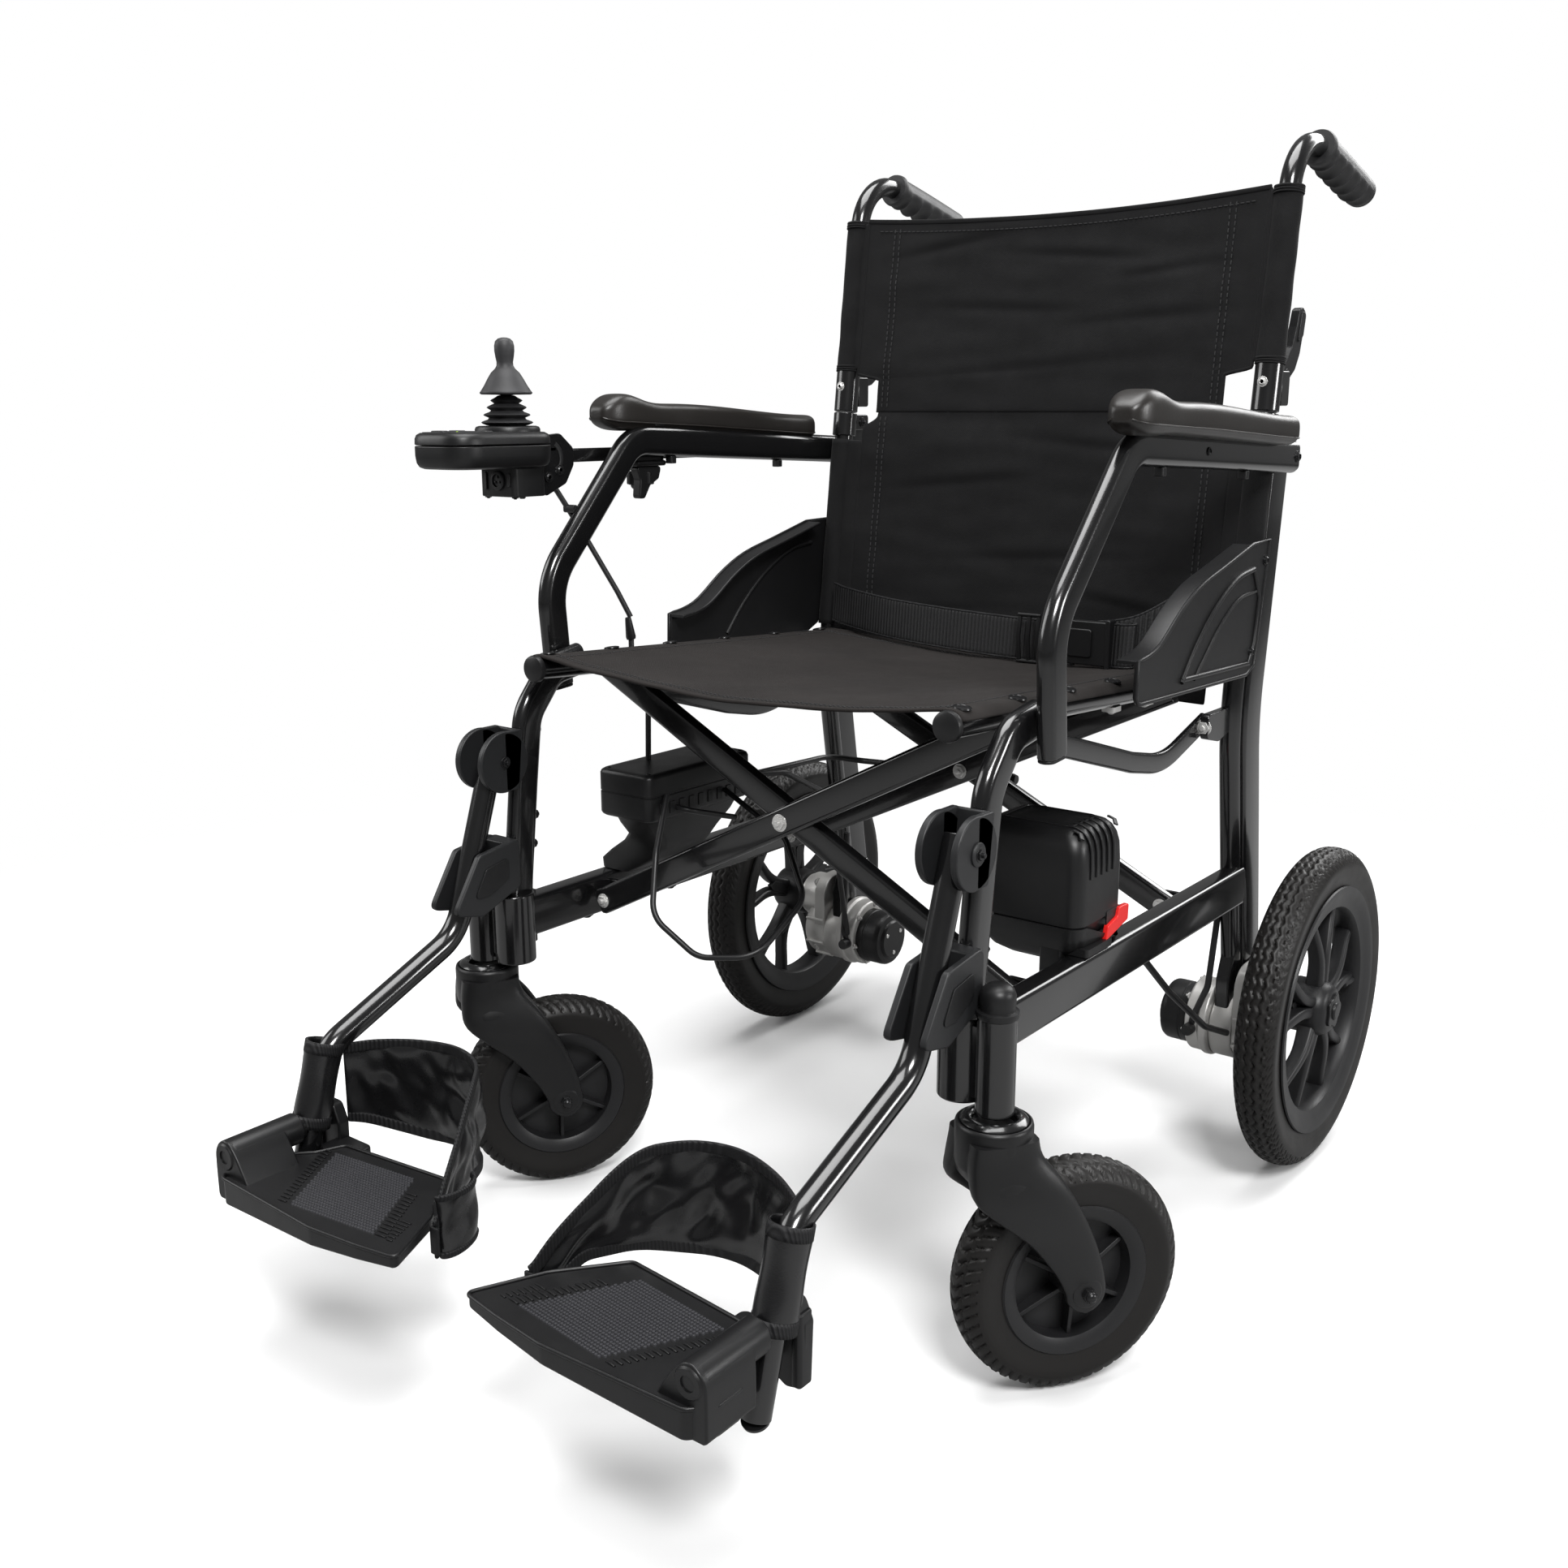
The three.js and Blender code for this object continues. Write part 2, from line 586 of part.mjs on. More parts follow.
// ---------- joystick controller ----------
function controlArm() {
  const bar = box(CONTROL_X - 6, CONTROL_X + 6, -424, -176, BAR_Z - 6, BAR_Z + 6);
  const side = [[-428, 683], [-412, 683], [-404, 664], [-410, 640], [-428, 632]];
  const plate = (x) => slabX(outline(side), x, x + 3, 1);
  const bridge = box(CONTROL_X - 11, CONTROL_X + 11, -428, -412, 667, 683);
  return join(bar, plate(CONTROL_X - 11), plate(CONTROL_X + 8), bridge);
}

function clampKnob() {
  const shape = new THREE.Shape();
  const lobes = 6;
  for (let i = 0; i < lobes * 4; i += 1) {
    const angle = (i / (lobes * 4)) * Math.PI * 2;
    const radius = i % 4 < 2 ? 13 : 10.5;
    const point = [radius * Math.cos(angle), radius * Math.sin(angle)];
    if (i === 0) {
      shape.moveTo(...point);
    } else {
      shape.lineTo(...point);
    }
  }
  return at(slabZ(shape, BAR_Z - 30, BAR_Z - 13, 1), CONTROL_X, (CLAMP_Y[0] + CLAMP_Y[1]) / 2, 0);
}

const KEYS = [
  ['key_power', CONTROL_X, -533],
  ['key_horn', CONTROL_X - 17, -521],
  ['key_lamp', CONTROL_X + 17, -521],
  ['key_slower', CONTROL_X - 17, -502],
  ['key_faster', CONTROL_X + 17, -502],
];

function controllerBase() {
  const plan = roundedRect(BOX_WIDTH, BOX_LENGTH, 26);
  const tub = at(slabZ(plan, 656, PARTING_Z, 3), CONTROL_X, BOX_Y, 0);
  const lower = at(slabZ(roundedRect(44, 38, 6), 631, 657, 2), CONTROL_X, -456, 0);
  return join(tub, lower);
}

function controllerCover() {
  const plan = roundedRect(BOX_WIDTH, BOX_LENGTH, 26);
  const cover = at(slabZ(plan, PARTING_Z + GAP, BOX_TOP, 3, 3), CONTROL_X, BOX_Y, 0);
  const collarProfile = [[0, BOX_TOP - 4], [27, BOX_TOP - 4], [27, 689.5], [25, 691], [0, 691]];
  const collar = at(turned(collarProfile, 20), CONTROL_X, STICK_Y, 0);
  const well = at(turned([[0, 678], [9.5, 678], [12, 700], [0, 700]], 16), CONTROL_X, STICK_Y, 0);
  const halfX = 7 + GAP;
  const halfY = 5 + GAP;
  const keyWells = KEYS.map(([, x, y]) => box(x - halfX, x + halfX, y - halfY, y + halfY, 681, 700));
  const cuts = [well, ...keyWells].map(solid);
  return cuts.reduce((whole, cut) => whole.subtract(cut), join(cover, collar));
}

function joystickKnob() {
  return turned([
    [0, 680], [3.8, 680], [3.8, 717], [21, 717], [22, 718.5], [19, 727], [13, 738], [11, 741],
    [11.4, 752], [10.5, 759], [6, 763], [0, 764],
  ], 16);
}

function joystickBoot() {
  return turned([
    [5.5, 692], [19, 692], [18, 695], [22, 699], [16, 702], [19.5, 706], [13, 709], [14.5, 712],
    [8, 715.5], [5.5, 715.5], [5.5, 692],
  ], 16);
}

// The ring of the gimbal under the boot, between the cover and the stick.
function joystickRing() {
  return turned([[5.4, 685], [7.6, 685], [7.6, 689], [5.4, 689], [5.4, 685]], 16);
}

piece('control_arm', controlArm(), PAINT());
piece('clamp_knob', clampKnob(), PLASTIC());
piece('controller_base', controllerBase(), PLASTIC());
piece('controller_cover', controllerCover(), PLASTIC());
piece('joystick_ring', at(joystickRing(), CONTROL_X, STICK_Y, 0), PLASTIC());
piece('joystick', at(joystickKnob(), CONTROL_X, STICK_Y, 0), GREY_PLASTIC());
piece('joystick_boot', at(joystickBoot(), CONTROL_X, STICK_Y, 0), RUBBER());
for (const [name, x, y] of KEYS) {
  const cap = slabZ(roundedRect(14, 10, 2), 682.4, BOX_TOP + 1.2, 1);
  piece(name, at(cap, x, y, 0), GREY_PLASTIC());
}

// ---------- back ----------
function backCane() {
  const path = bentPath([
    [POST_X, backTubeY(SLEEVE_Z - 22), SLEEVE_Z - 22], [POST_X, 14, 944], [POST_X, 186, 906],
  ], [52]);
  const cane = tube(disc(TUBE_R), path, 24, 5);
  const sleeve = tube(disc(12.5), bentPath([
    [POST_X, backTubeY(FOLD_Z) + 0.1, FOLD_Z + 2 * GAP], [POST_X, backTubeY(752), 752],
  ], []), 60, 6);
  return join(cane, sleeve);
}

function handGrip() {
  const start = new THREE.Vector3(POST_X, 72, 931.2);
  const end = new THREE.Vector3(POST_X, 196, 903.8);
  const outer = tube(disc(15.5), new THREE.LineCurve3(start, end), 130, 5);
  const bore = tube(disc(TUBE_R + 2 * GAP), new THREE.LineCurve3(
    start.clone().lerp(end, -0.2), start.clone().lerp(end, 0.94)), 150, 5);
  return solid(outer).subtract(solid(bore));
}

function backLatch() {
  const blade = new THREE.Shape();
  blade.moveTo(12, 726);
  blade.bezierCurveTo(24, 748, 32, 768, 44, 792);
  blade.lineTo(56, 788);
  blade.bezierCurveTo(50, 764, 42, 744, 26, 730);
  return slabX(blade, POST_X - 4, POST_X + 4, 4);
}

// A sheet between the back tubes that follows their slope and bows back a little.
function backSheet(z0, z1, half) {
  const bow = 12;
  const plan = new THREE.Shape();
  plan.moveTo(-half, 0);
  plan.quadraticCurveTo(0, 2 * bow, half, 0);
  plan.lineTo(half, 3);
  plan.quadraticCurveTo(0, 2 * bow + 3, -half, 3);
  const sheet = new THREE.ExtrudeGeometry(plan, {
    depth: z1 - z0,
    steps: 1,
    curveSegments: 8,
    bevelEnabled: false,
  });
  const slope = (backTubeY(z1) - backTubeY(z0)) / (z1 - z0);
  const shear = new THREE.Matrix4().set(1, 0, 0, 0, 0, 1, slope, 0, 0, 0, 1, 0, 0, 0, 0, 1);
  return at(sheet.applyMatrix4(shear), 0, backTubeY(z0), z0);
}

function lapBelt() {
  const curve = new THREE.CatmullRomCurve3([
    [-196, -84, 498], [-110, -92, 496], [0, -112, 494], [90, -124, 492], [150, -116, 500], [196, -96, 512],
  ].map((p) => new THREE.Vector3(...p)));
  return tube(roundedRect(38, 3, 1), curve, 34, 1);
}

pair('back_cane', backCane(), PAINT);
pair('hand_grip', handGrip(), RUBBER);
pair('back_latch', backLatch(), PLASTIC);
piece('back_sling_upper', backSheet(SLEEVE_Z + 28, 892, 215), FABRIC());
piece('back_sling_lower', backSheet(456, SLEEVE_Z + 10, 200), FABRIC());
piece('lap_belt', lapBelt(), FABRIC());

// The origin of the finished part: the bottom centre of the whole chair.
const bounds = new THREE.Box3().setFromObject(chair, true);
chair.position.set(-(bounds.min.x + bounds.max.x) / 2, -(bounds.min.y + bounds.max.y) / 2, 0);

export default chair;
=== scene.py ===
"""The looks of the folding power wheelchair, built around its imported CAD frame. +Z is up, the occupant
faces -Y, +X is their left. Shapes are in millimetres from the floor point midway between the drive
wheels; a piece becomes metres in the frame's coordinates when it is made."""

import math

import bpy
import bmesh
from mathutils import Matrix, Vector, noise


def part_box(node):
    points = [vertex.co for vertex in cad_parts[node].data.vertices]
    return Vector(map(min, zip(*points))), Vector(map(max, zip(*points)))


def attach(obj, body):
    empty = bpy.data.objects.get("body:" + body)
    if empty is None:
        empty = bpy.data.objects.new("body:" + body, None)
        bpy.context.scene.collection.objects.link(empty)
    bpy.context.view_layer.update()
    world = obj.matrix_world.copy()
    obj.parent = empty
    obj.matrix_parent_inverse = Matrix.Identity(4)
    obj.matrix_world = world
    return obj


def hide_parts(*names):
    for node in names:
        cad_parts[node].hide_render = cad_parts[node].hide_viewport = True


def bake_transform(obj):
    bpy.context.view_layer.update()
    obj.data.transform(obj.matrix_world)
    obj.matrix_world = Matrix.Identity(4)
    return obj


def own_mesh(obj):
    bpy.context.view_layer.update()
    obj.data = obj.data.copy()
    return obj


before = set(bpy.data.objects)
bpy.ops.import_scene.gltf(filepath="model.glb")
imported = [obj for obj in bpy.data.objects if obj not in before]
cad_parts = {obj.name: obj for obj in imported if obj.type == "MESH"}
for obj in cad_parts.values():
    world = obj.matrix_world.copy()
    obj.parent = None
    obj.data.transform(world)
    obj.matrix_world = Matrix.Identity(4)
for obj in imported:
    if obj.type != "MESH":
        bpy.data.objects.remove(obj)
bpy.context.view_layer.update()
MM = 0.001


def box_middle(node):
    low, high = (Vector(corner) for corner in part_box(node))
    return (low + high) / 2


WHEELS_AT = (box_middle("drive_rim_left") + box_middle("drive_rim_right")) / 2
WHEELS_AT.z = 0.0
SIDES = (("left", 1), ("right", -1))

# Places and sizes that several pieces share, in mm and on the left side.
DRIVE_AXLE = (306, 0, 152.5)
STEM = (263.4, -518, 0)
CASTER_AXLE = (0, 61, 89.5)  # from the stem, before the caster is swivelled
MOTOR_AXIS = (0, -4, 120)
BRACE_LUG_Y = (-398.2, -116.2)
BATTERY_AT = (190, -314.5)
UP = (0, 0, 1)


# ---------- shapes ----------
class Shape:
    """Vertices in millimetres and faces, before they become a piece."""

    def __init__(self, verts=(), faces=()):
        self.verts = [Vector(v) for v in verts]
        self.faces = [tuple(f) for f in faces]

    def add(self, *others):
        for other in others:
            base = len(self.verts)
            self.verts += [v.copy() for v in other.verts]
            self.faces += [tuple(i + base for i in f) for f in other.faces]
        return self

    def move(self, x=0.0, y=0.0, z=0.0):
        step = Vector((x, y, z))
        self.verts = [v + step for v in self.verts]
        return self

    def turn(self, axis, degrees, about=(0, 0, 0)):
        centre = Vector(about)
        rotation = Matrix.Rotation(math.radians(degrees), 3, Vector(axis))
        self.verts = [rotation @ (v - centre) + centre for v in self.verts]
        return self

    def copy(self):
        return Shape(self.verts, self.faces)

    def mirror(self):
        return Shape([(-v.x, v.y, v.z) for v in self.verts], [tuple(reversed(f)) for f in self.faces])


def merged(*shapes):
    return Shape().add(*shapes)


def circle(radius, count=28, squash=1.0):
    step = math.tau / count
    return [(radius * math.cos(i * step), radius * squash * math.sin(i * step)) for i in range(count)]


def rounded(width, height, radius, per_corner=5):
    radius = min(radius, width / 2 - 0.01, height / 2 - 0.01)
    points = []
    for k, (sx, sy) in enumerate(((1, 1), (-1, 1), (-1, -1), (1, -1))):
        for i in range(per_corner + 1):
            angle = (k + i / per_corner) * math.pi / 2
            points.append((sx * (width / 2 - radius) + radius * math.cos(angle),
                           sy * (height / 2 - radius) + radius * math.sin(angle)))
    return points


def fillet(points, radii, per_bend=8):
    """Straight runs through the points, joined by true arcs of the given radii."""
    points = [Vector(p) for p in points]
    path = [points[0]]
    for i in range(1, len(points) - 1):
        into = (points[i] - points[i - 1]).normalized()
        out = (points[i + 1] - points[i]).normalized()
        angle = into.angle(out)
        if angle < 1e-3:
            path.append(points[i])
            continue
        reach = radii[i - 1] * math.tan(angle / 2)
        start = points[i] - into * reach
        centre = start + (out - into * into.dot(out)).normalized() * radii[i - 1]
        normal = into.cross(out).normalized()
        for k in range(per_bend + 1):
            turn = Matrix.Rotation(angle * k / per_bend, 3, normal)
            path.append(centre + turn @ (start - centre))
    path.append(points[-1])
    return path


def smooth_path(points, count):
    """A Catmull-Rom curve through the points."""
    points = [Vector(p) for p in points]
    ends = [points[0] * 2 - points[1]] + points + [points[-1] * 2 - points[-2]]
    path = []
    for k in range(count):
        s = k / (count - 1) * (len(points) - 1)
        i = min(int(s), len(points) - 2)
        t = s - i
        a, b, c, d = ends[i:i + 4]
        path.append(0.5 * (2 * b + (c - a) * t + (2 * a - 5 * b + 4 * c - d) * t * t
                           + (3 * b - a - 3 * c + d) * t ** 3))
    return path


def sweep(path, section, side=(1, 0, 0), scale=None, caps=True, closed=False):
    """The section drawn along the path; its first coordinate stays near the side direction."""
    path = [Vector(p) for p in path]
    side = Vector(side)
    count = len(section)
    shape = Shape()
    last = len(path) - 1
    for i, point in enumerate(path):
        if closed:
            tangent = (path[(i + 1) % len(path)] - path[i - 1]).normalized()
        else:
            tangent = (path[min(i + 1, last)] - path[max(i - 1, 0)]).normalized()
        u = (side - tangent * side.dot(tangent)).normalized()
        v = tangent.cross(u)
        side = u if closed or scale is None else side
        su, sv = scale(i / last) if scale else (1, 1)
        shape.verts += [point + u * (a * su) + v * (b * sv) for a, b in section]
    rings = len(path) if closed else last
    for i in range(rings):
        near, far = i * count, ((i + 1) % len(path)) * count
        for k in range(count):
            n = (k + 1) % count
            shape.faces.append((near + k, near + n, far + n, far + k))
    if caps and not closed:
        shape.faces.append(tuple(reversed(range(count))))
        shape.faces.append(tuple(range(last * count, last * count + count)))
    return shape


def tube(points, radii, radius, count=24, per_bend=8, side=(1, 0, 0)):
    return sweep(fillet(points, radii, per_bend), circle(radius, count), side)


def lathe(profile, axis="z", at=(0, 0, 0), count=40, closed=False):
    """Revolves (radius, height) points about an axis through a point; open profiles end on the axis."""
    shape = Shape()
    rows = []
    for r, h in profile:
        if r < 1e-6:
            rows.append([len(shape.verts)])
            shape.verts.append(Vector((0, 0, h)))
        else:
            rows.append(list(range(len(shape.verts), len(shape.verts) + count)))
            turns = [i * math.tau / count for i in range(count)]
            shape.verts += [Vector((r * math.cos(a), r * math.sin(a), h)) for a in turns]
    pairs = list(zip(rows, rows[1:])) + ([(rows[-1], rows[0])] if closed else [])
    for low, high in pairs:
        for i in range(count):
            n = (i + 1) % count
            if len(low) == 1:
                shape.faces.append((low[0], high[n], high[i]))
            elif len(high) == 1:
                shape.faces.append((low[i], low[n], high[0]))
            else:
                shape.faces.append((low[i], low[n], high[n], high[i]))
    if axis == "x":
        shape.verts = [Vector((v.z, v.x, v.y)) for v in shape.verts]
    elif axis == "y":
        shape.verts = [Vector((v.y, v.z, v.x)) for v in shape.verts]
    return shape.move(*at)


def prism(outline, axis, low, high):
    """An outline drawn straight along an axis: (y, z) along x, (x, z) along y, (x, y) along z."""
    put = {"x": lambda a, b, t: (t, a, b), "y": lambda a, b, t: (a, t, b),
           "z": lambda a, b, t: (a, b, t)}[axis]
    count = len(outline)
    area = sum(outline[i - 1][0] * outline[i][1] - outline[i][0] * outline[i - 1][1] for i in range(count))
    if (area < 0) != (axis == "y"):
        outline = outline[::-1]
    shape = Shape([put(a, b, t) for t in (low, high) for a, b in outline])
    shape.faces = [(i, (i + 1) % count, count + (i + 1) % count, count + i) for i in range(count)]
    shape.faces += [tuple(reversed(range(count))), tuple(range(count, 2 * count))]
    return shape


def block(x0, x1, y0, y1, z0, z1, radius=3.0, axis="z"):
    """A box whose four edges along one axis are rounded."""
    spans = {"x": ((y0, y1), (z0, z1), (x0, x1)), "y": ((x0, x1), (z0, z1), (y0, y1)),
             "z": ((x0, x1), (y0, y1), (z0, z1))}
    (a0, a1), (b0, b1), (c0, c1) = spans[axis]
    ring = [(a + (a0 + a1) / 2, b + (b0 + b1) / 2) for a, b in rounded(a1 - a0, b1 - b0, radius)]
    return prism(ring, axis, c0, c1)


def grid(rows):
    """A sheet from rows of points."""
    wide = len(rows[0])
    shape = Shape([p for row in rows for p in row])
    for i in range(len(rows) - 1):
        for k in range(wide - 1):
            a = i * wide + k
            shape.faces.append((a, a + 1, a + wide + 1, a + wide))
    return shape


def blend_curve(points, count):
    """A smooth 2-D curve through points, as (a, b) pairs."""
    return [(p.x, p.y) for p in smooth_path([(a, b, 0) for a, b in points], count)]


def arch(a, b, lift, section, side):
    """A short run from a to b that is lifted in its middle: a ridge or one thread of a seam."""
    return sweep([a, (a + b) / 2 + Vector(lift), b], section, side)


def bolt(at, axis, radius=5.0, height=4.0, sign=1, hexagon=False):
    """A socket head on a washer, pointing along an axis."""
    washer = lathe([(0, 0), (radius * 1.45, 0), (radius * 1.45, 1), (0, 1)], "z", count=24)
    if hexagon:
        head = prism(circle(radius * 1.15, 6), "z", 1, height)
        head.add(lathe([(0, height - 0.5), (radius * 0.5, height - 0.5), (radius * 0.5, height + 2),
                        (0, height + 2.4)], "z", count=16))
    else:
        top = height + 1
        head = lathe([(0, 1), (radius, 1), (radius, top - 1), (radius - 1, top), (radius * 0.55, top),
                      (radius * 0.5, top - 2.2), (0, top - 2.2)], "z", count=24)
    shape = merged(washer, head)
    if sign < 0:
        shape.turn((1, 0, 0), 180)
    if axis == "x":
        shape.turn((0, 1, 0), 90)
    elif axis == "y":
        shape.turn((1, 0, 0), -90)
    return shape.move(*at)


def blend_ring(corners, radius, per_bend=5):
    """A closed outline with every corner rounded."""
    count = len(corners)
    ring = []
    for i in range(count):
        before, here, after = (Vector((*corners[j % count], 0)) for j in (i - 1, i, i + 1))
        into, out = (here - before).normalized(), (after - here).normalized()
        angle = into.angle(out)
        if angle < 0.05:
            ring.append((here.x, here.y))
            continue
        r = radius[i] if isinstance(radius, (list, tuple)) else radius
        reach = min(r * math.tan(angle / 2), (here - before).length * 0.48, (after - here).length * 0.48)
        for k in range(per_bend + 1):
            t = k / per_bend
            p = (here - into * reach) * (1 - t) ** 2 + here * (2 * t * (1 - t)) + (here + out * reach) * t * t
            ring.append((p.x, p.y))
    return ring


def ring_rows(rows):
    """A closed body through rows of points that each make a ring."""
    count = len(rows[0])
    shape = Shape([p for row in rows for p in row])
    for i in range(len(rows) - 1):
        for k in range(count):
            n = (k + 1) % count
            shape.faces.append((i * count + k, i * count + n, (i + 1) * count + n, (i + 1) * count + k))
    shape.faces += [tuple(reversed(range(count))), tuple(range((len(rows) - 1) * count, len(rows) * count))]
    return shape


def soft_ring(half_a, half_b, power_a=0.5, power_b=0.5, count=32):
    """A ring between an ellipse and a rectangle."""
    ring = []
    for k in range(count):
        c, s = math.cos(k / count * math.tau), math.sin(k / count * math.tau)
        ring.append((half_a * math.copysign(abs(c) ** power_a, c),
                     half_b * math.copysign(abs(s) ** power_b, s)))
    return ring


def lobed_ring(radius, swell, lobes, count):
    """A round outline with lobes, as on a hand knob."""
    turns = [math.tau * i / count for i in range(count)]
    return [((radius + swell * math.cos(lobes * a)) * math.cos(a),
             (radius + swell * math.cos(lobes * a)) * math.sin(a)) for a in turns]


def box_ring(x, y, z, width, depth, radius):
    """A rounded rectangle of points at one height."""
    return [Vector((x + a, y + b, z)) for a, b in rounded(width, depth, radius, 7)]


def smooth_step(t):
    """0 below 0, 1 above 1 and a soft rise between them."""
    t = min(1.0, max(0.0, t))
    return t * t * (3 - 2 * t)


# ---------- materials ----------
def material(name, build, *values, **base):
    """A material whose nodes are made by build; base sets inputs of its shader."""
    mat = bpy.data.materials.new(name)
    mat.use_nodes = True
    tree = mat.node_tree
    shader = tree.nodes["Principled BSDF"]
    for key, value in base.items():
        shader.inputs[key.replace("_", " ")].default_value = value
    build(Nodes(tree), shader, *values)
    return mat


class Nodes:
    """Short names for the node calls that the materials share."""

    def __init__(self, tree):
        self.tree = tree
        self.coords = self.node("ShaderNodeTexCoord").outputs["Object"]

    def node(self, kind, **values):
        made = self.tree.nodes.new(kind)
        for key, value in values.items():
            if key in made.inputs:
                made.inputs[key].default_value = value
            else:
                setattr(made, key, value)
        return made

    def link(self, source, target):
        self.tree.links.new(source, target)

    def noise(self, scale, detail=3.0, rough=0.5):
        made = self.node("ShaderNodeTexNoise", Scale=scale, Detail=detail, Roughness=rough)
        self.link(self.coords, made.inputs["Vector"])
        return made.outputs["Fac"]

    def voronoi(self, scale, feature="F1"):
        made = self.node("ShaderNodeTexVoronoi", feature=feature, Scale=scale)
        self.link(self.coords, made.inputs["Vector"])
        return made.outputs["Distance"]

    def math(self, operation, a, b=0.0):
        made = self.node("ShaderNodeMath", operation=operation)
        for socket, value in zip(made.inputs, (a, b)):
            if isinstance(value, (int, float)):
                socket.default_value = value
            else:
                self.link(value, socket)
        return made.outputs[0]

    def ramp(self, value, low, high):
        made = self.node("ShaderNodeMapRange")
        made.inputs["To Min"].default_value = low
        made.inputs["To Max"].default_value = high
        self.link(value, made.inputs["Value"])
        return made.outputs["Result"]

    def colour(self, value, dark, light, target):
        made = self.node("ShaderNodeMix", data_type="RGBA")
        for socket, rgb in ((made.inputs[6], dark), (made.inputs[7], light)):
            socket.default_value = (*rgb, 1)
        self.link(value, made.inputs[0])
        self.link(made.outputs[2], target)

    def bump(self, height, strength, distance, shader):
        made = self.node("ShaderNodeBump", Strength=strength, Distance=distance)
        self.link(height, made.inputs["Height"])
        self.link(made.outputs["Normal"], shader.inputs["Normal"])

    def axis(self, letter):
        made = self.node("ShaderNodeSeparateXYZ")
        self.link(self.coords, made.inputs[0])
        return made.outputs[letter]

    def stripes(self, letter, per_metre):
        return self.math("SINE", self.math("MULTIPLY", self.axis(letter), per_metre * math.tau))


def coated(n, shader, dark, light, rough_low, rough_high, grain, depth):
    """Paint, plastic or rubber: a slow change of colour and gloss over a fine grain."""
    n.colour(n.noise(9, 4), dark, light, shader.inputs["Base Color"])
    n.link(n.ramp(n.noise(34, 5, 0.6), rough_low, rough_high), shader.inputs["Roughness"])
    n.bump(n.noise(grain, 2), 0.35, depth, shader)


def woven(n, shader, dark, light, across, along, threads, depth):
    """Canvas: crossed threads, with slow shading, a painted highlight on the raised crossings and a little
    fuzz.
    """
    warp = n.stripes(across, threads)
    weft = n.stripes(along, threads)
    weave = n.math("MULTIPLY", warp, weft)
    fuzz = n.math("ADD", n.math("MULTIPLY", weave, 0.35), n.noise(420, 3))
    # Painted highlight: the raised thread crossings, which the bump also lifts, are made lighter; the noise
    # adds a slow random tone.
    n.colour(n.math("ADD", n.math("MULTIPLY", weave, 0.25), n.noise(14, 5)), dark, light,
             shader.inputs["Base Color"])
    n.link(n.ramp(n.noise(60, 4), 0.72, 0.95), shader.inputs["Roughness"])
    n.bump(fuzz, 0.55, depth, shader)


def ribbed(n, shader, dark, light, letter, per_metre, depth):
    """Webbing: ribs across the strap, with painted shade in their grooves."""
    ribs = n.stripes(letter, per_metre)
    # Painted shade: the colour darkens in the grooves and lightens on the crests of the same ribs that the
    # bump raises.
    n.colour(n.ramp(ribs, 0.2, 0.8), dark, light, shader.inputs["Base Color"])
    n.link(n.ramp(n.noise(80, 3), 0.5, 0.75), shader.inputs["Roughness"])
    n.bump(n.math("ADD", ribs, n.noise(600, 2)), 0.5, depth, shader)


def grained(n, shader, dark, light, rough_low, rough_high, cells, depth):
    """Skin with small pebbles, as on moulded foam and coated fabric."""
    cell = n.voronoi(cells)
    n.colour(n.noise(12, 4), dark, light, shader.inputs["Base Color"])
    n.link(n.ramp(n.noise(30, 4), rough_low, rough_high), shader.inputs["Roughness"])
    n.bump(n.math("ADD", n.math("MULTIPLY", cell, 0.7), n.noise(cells * 0.4, 2)), 0.4, depth, shader)


PAINT = material("frame_paint", coated, (0.003, 0.003, 0.0032), (0.006, 0.006, 0.0064), 0.15, 0.26, 900,
                 0.00005, Coat_Weight=0.5, Coat_Roughness=0.08, Specular_IOR_Level=0.5)
PLASTIC = material("black_plastic", coated, (0.004, 0.004, 0.0043), (0.0085, 0.0085, 0.009), 0.3, 0.48,
                   2400, 0.0001, Specular_IOR_Level=0.36)
GREY = material("grey_plastic", coated, (0.009, 0.0092, 0.0098), (0.016, 0.0165, 0.0175), 0.36, 0.5, 2200,
                0.0001, Specular_IOR_Level=0.36)
TREAD = material("tread_plastic", coated, (0.022, 0.022, 0.025), (0.036, 0.036, 0.04), 0.36, 0.5, 2200,
                 0.0001, Specular_IOR_Level=0.4)
HUB = material("hub_plastic", coated, (0.0075, 0.0075, 0.008), (0.014, 0.014, 0.015), 0.34, 0.5, 1500,
               0.0001, Specular_IOR_Level=0.34)
TYRE = material("tyre_rubber", coated, (0.0048, 0.0044, 0.0041), (0.011, 0.0099, 0.0092), 0.34, 0.54, 1300,
                0.00018, Specular_IOR_Level=0.3)
RUBBER = material("soft_rubber", coated, (0.006, 0.006, 0.0065), (0.012, 0.012, 0.013), 0.42, 0.6, 1800,
                  0.00012, Specular_IOR_Level=0.45)
STICK = material("joystick_rubber", coated, (0.017, 0.017, 0.018), (0.027, 0.027, 0.029), 0.48, 0.62, 1900,
                 0.00008, Specular_IOR_Level=0.4)
ZINC = material("zinc_bolts", coated, (0.55, 0.55, 0.54), (0.82, 0.81, 0.79), 0.18, 0.32, 700, 0.00005,
                Metallic=0.6)
CAST = material("cast_aluminium", coated, (0.44, 0.435, 0.42), (0.64, 0.63, 0.61), 0.34, 0.54, 520, 0.0003,
                Metallic=0.55)
RED = material("red_latch", coated, (0.55, 0.008, 0.008), (0.74, 0.018, 0.016), 0.25, 0.36, 1500, 0.00005)
LIT = material("lit_key", coated, (0.25, 0.42, 0.03), (0.4, 0.6, 0.06), 0.4, 0.5, 1500, 0.00005)
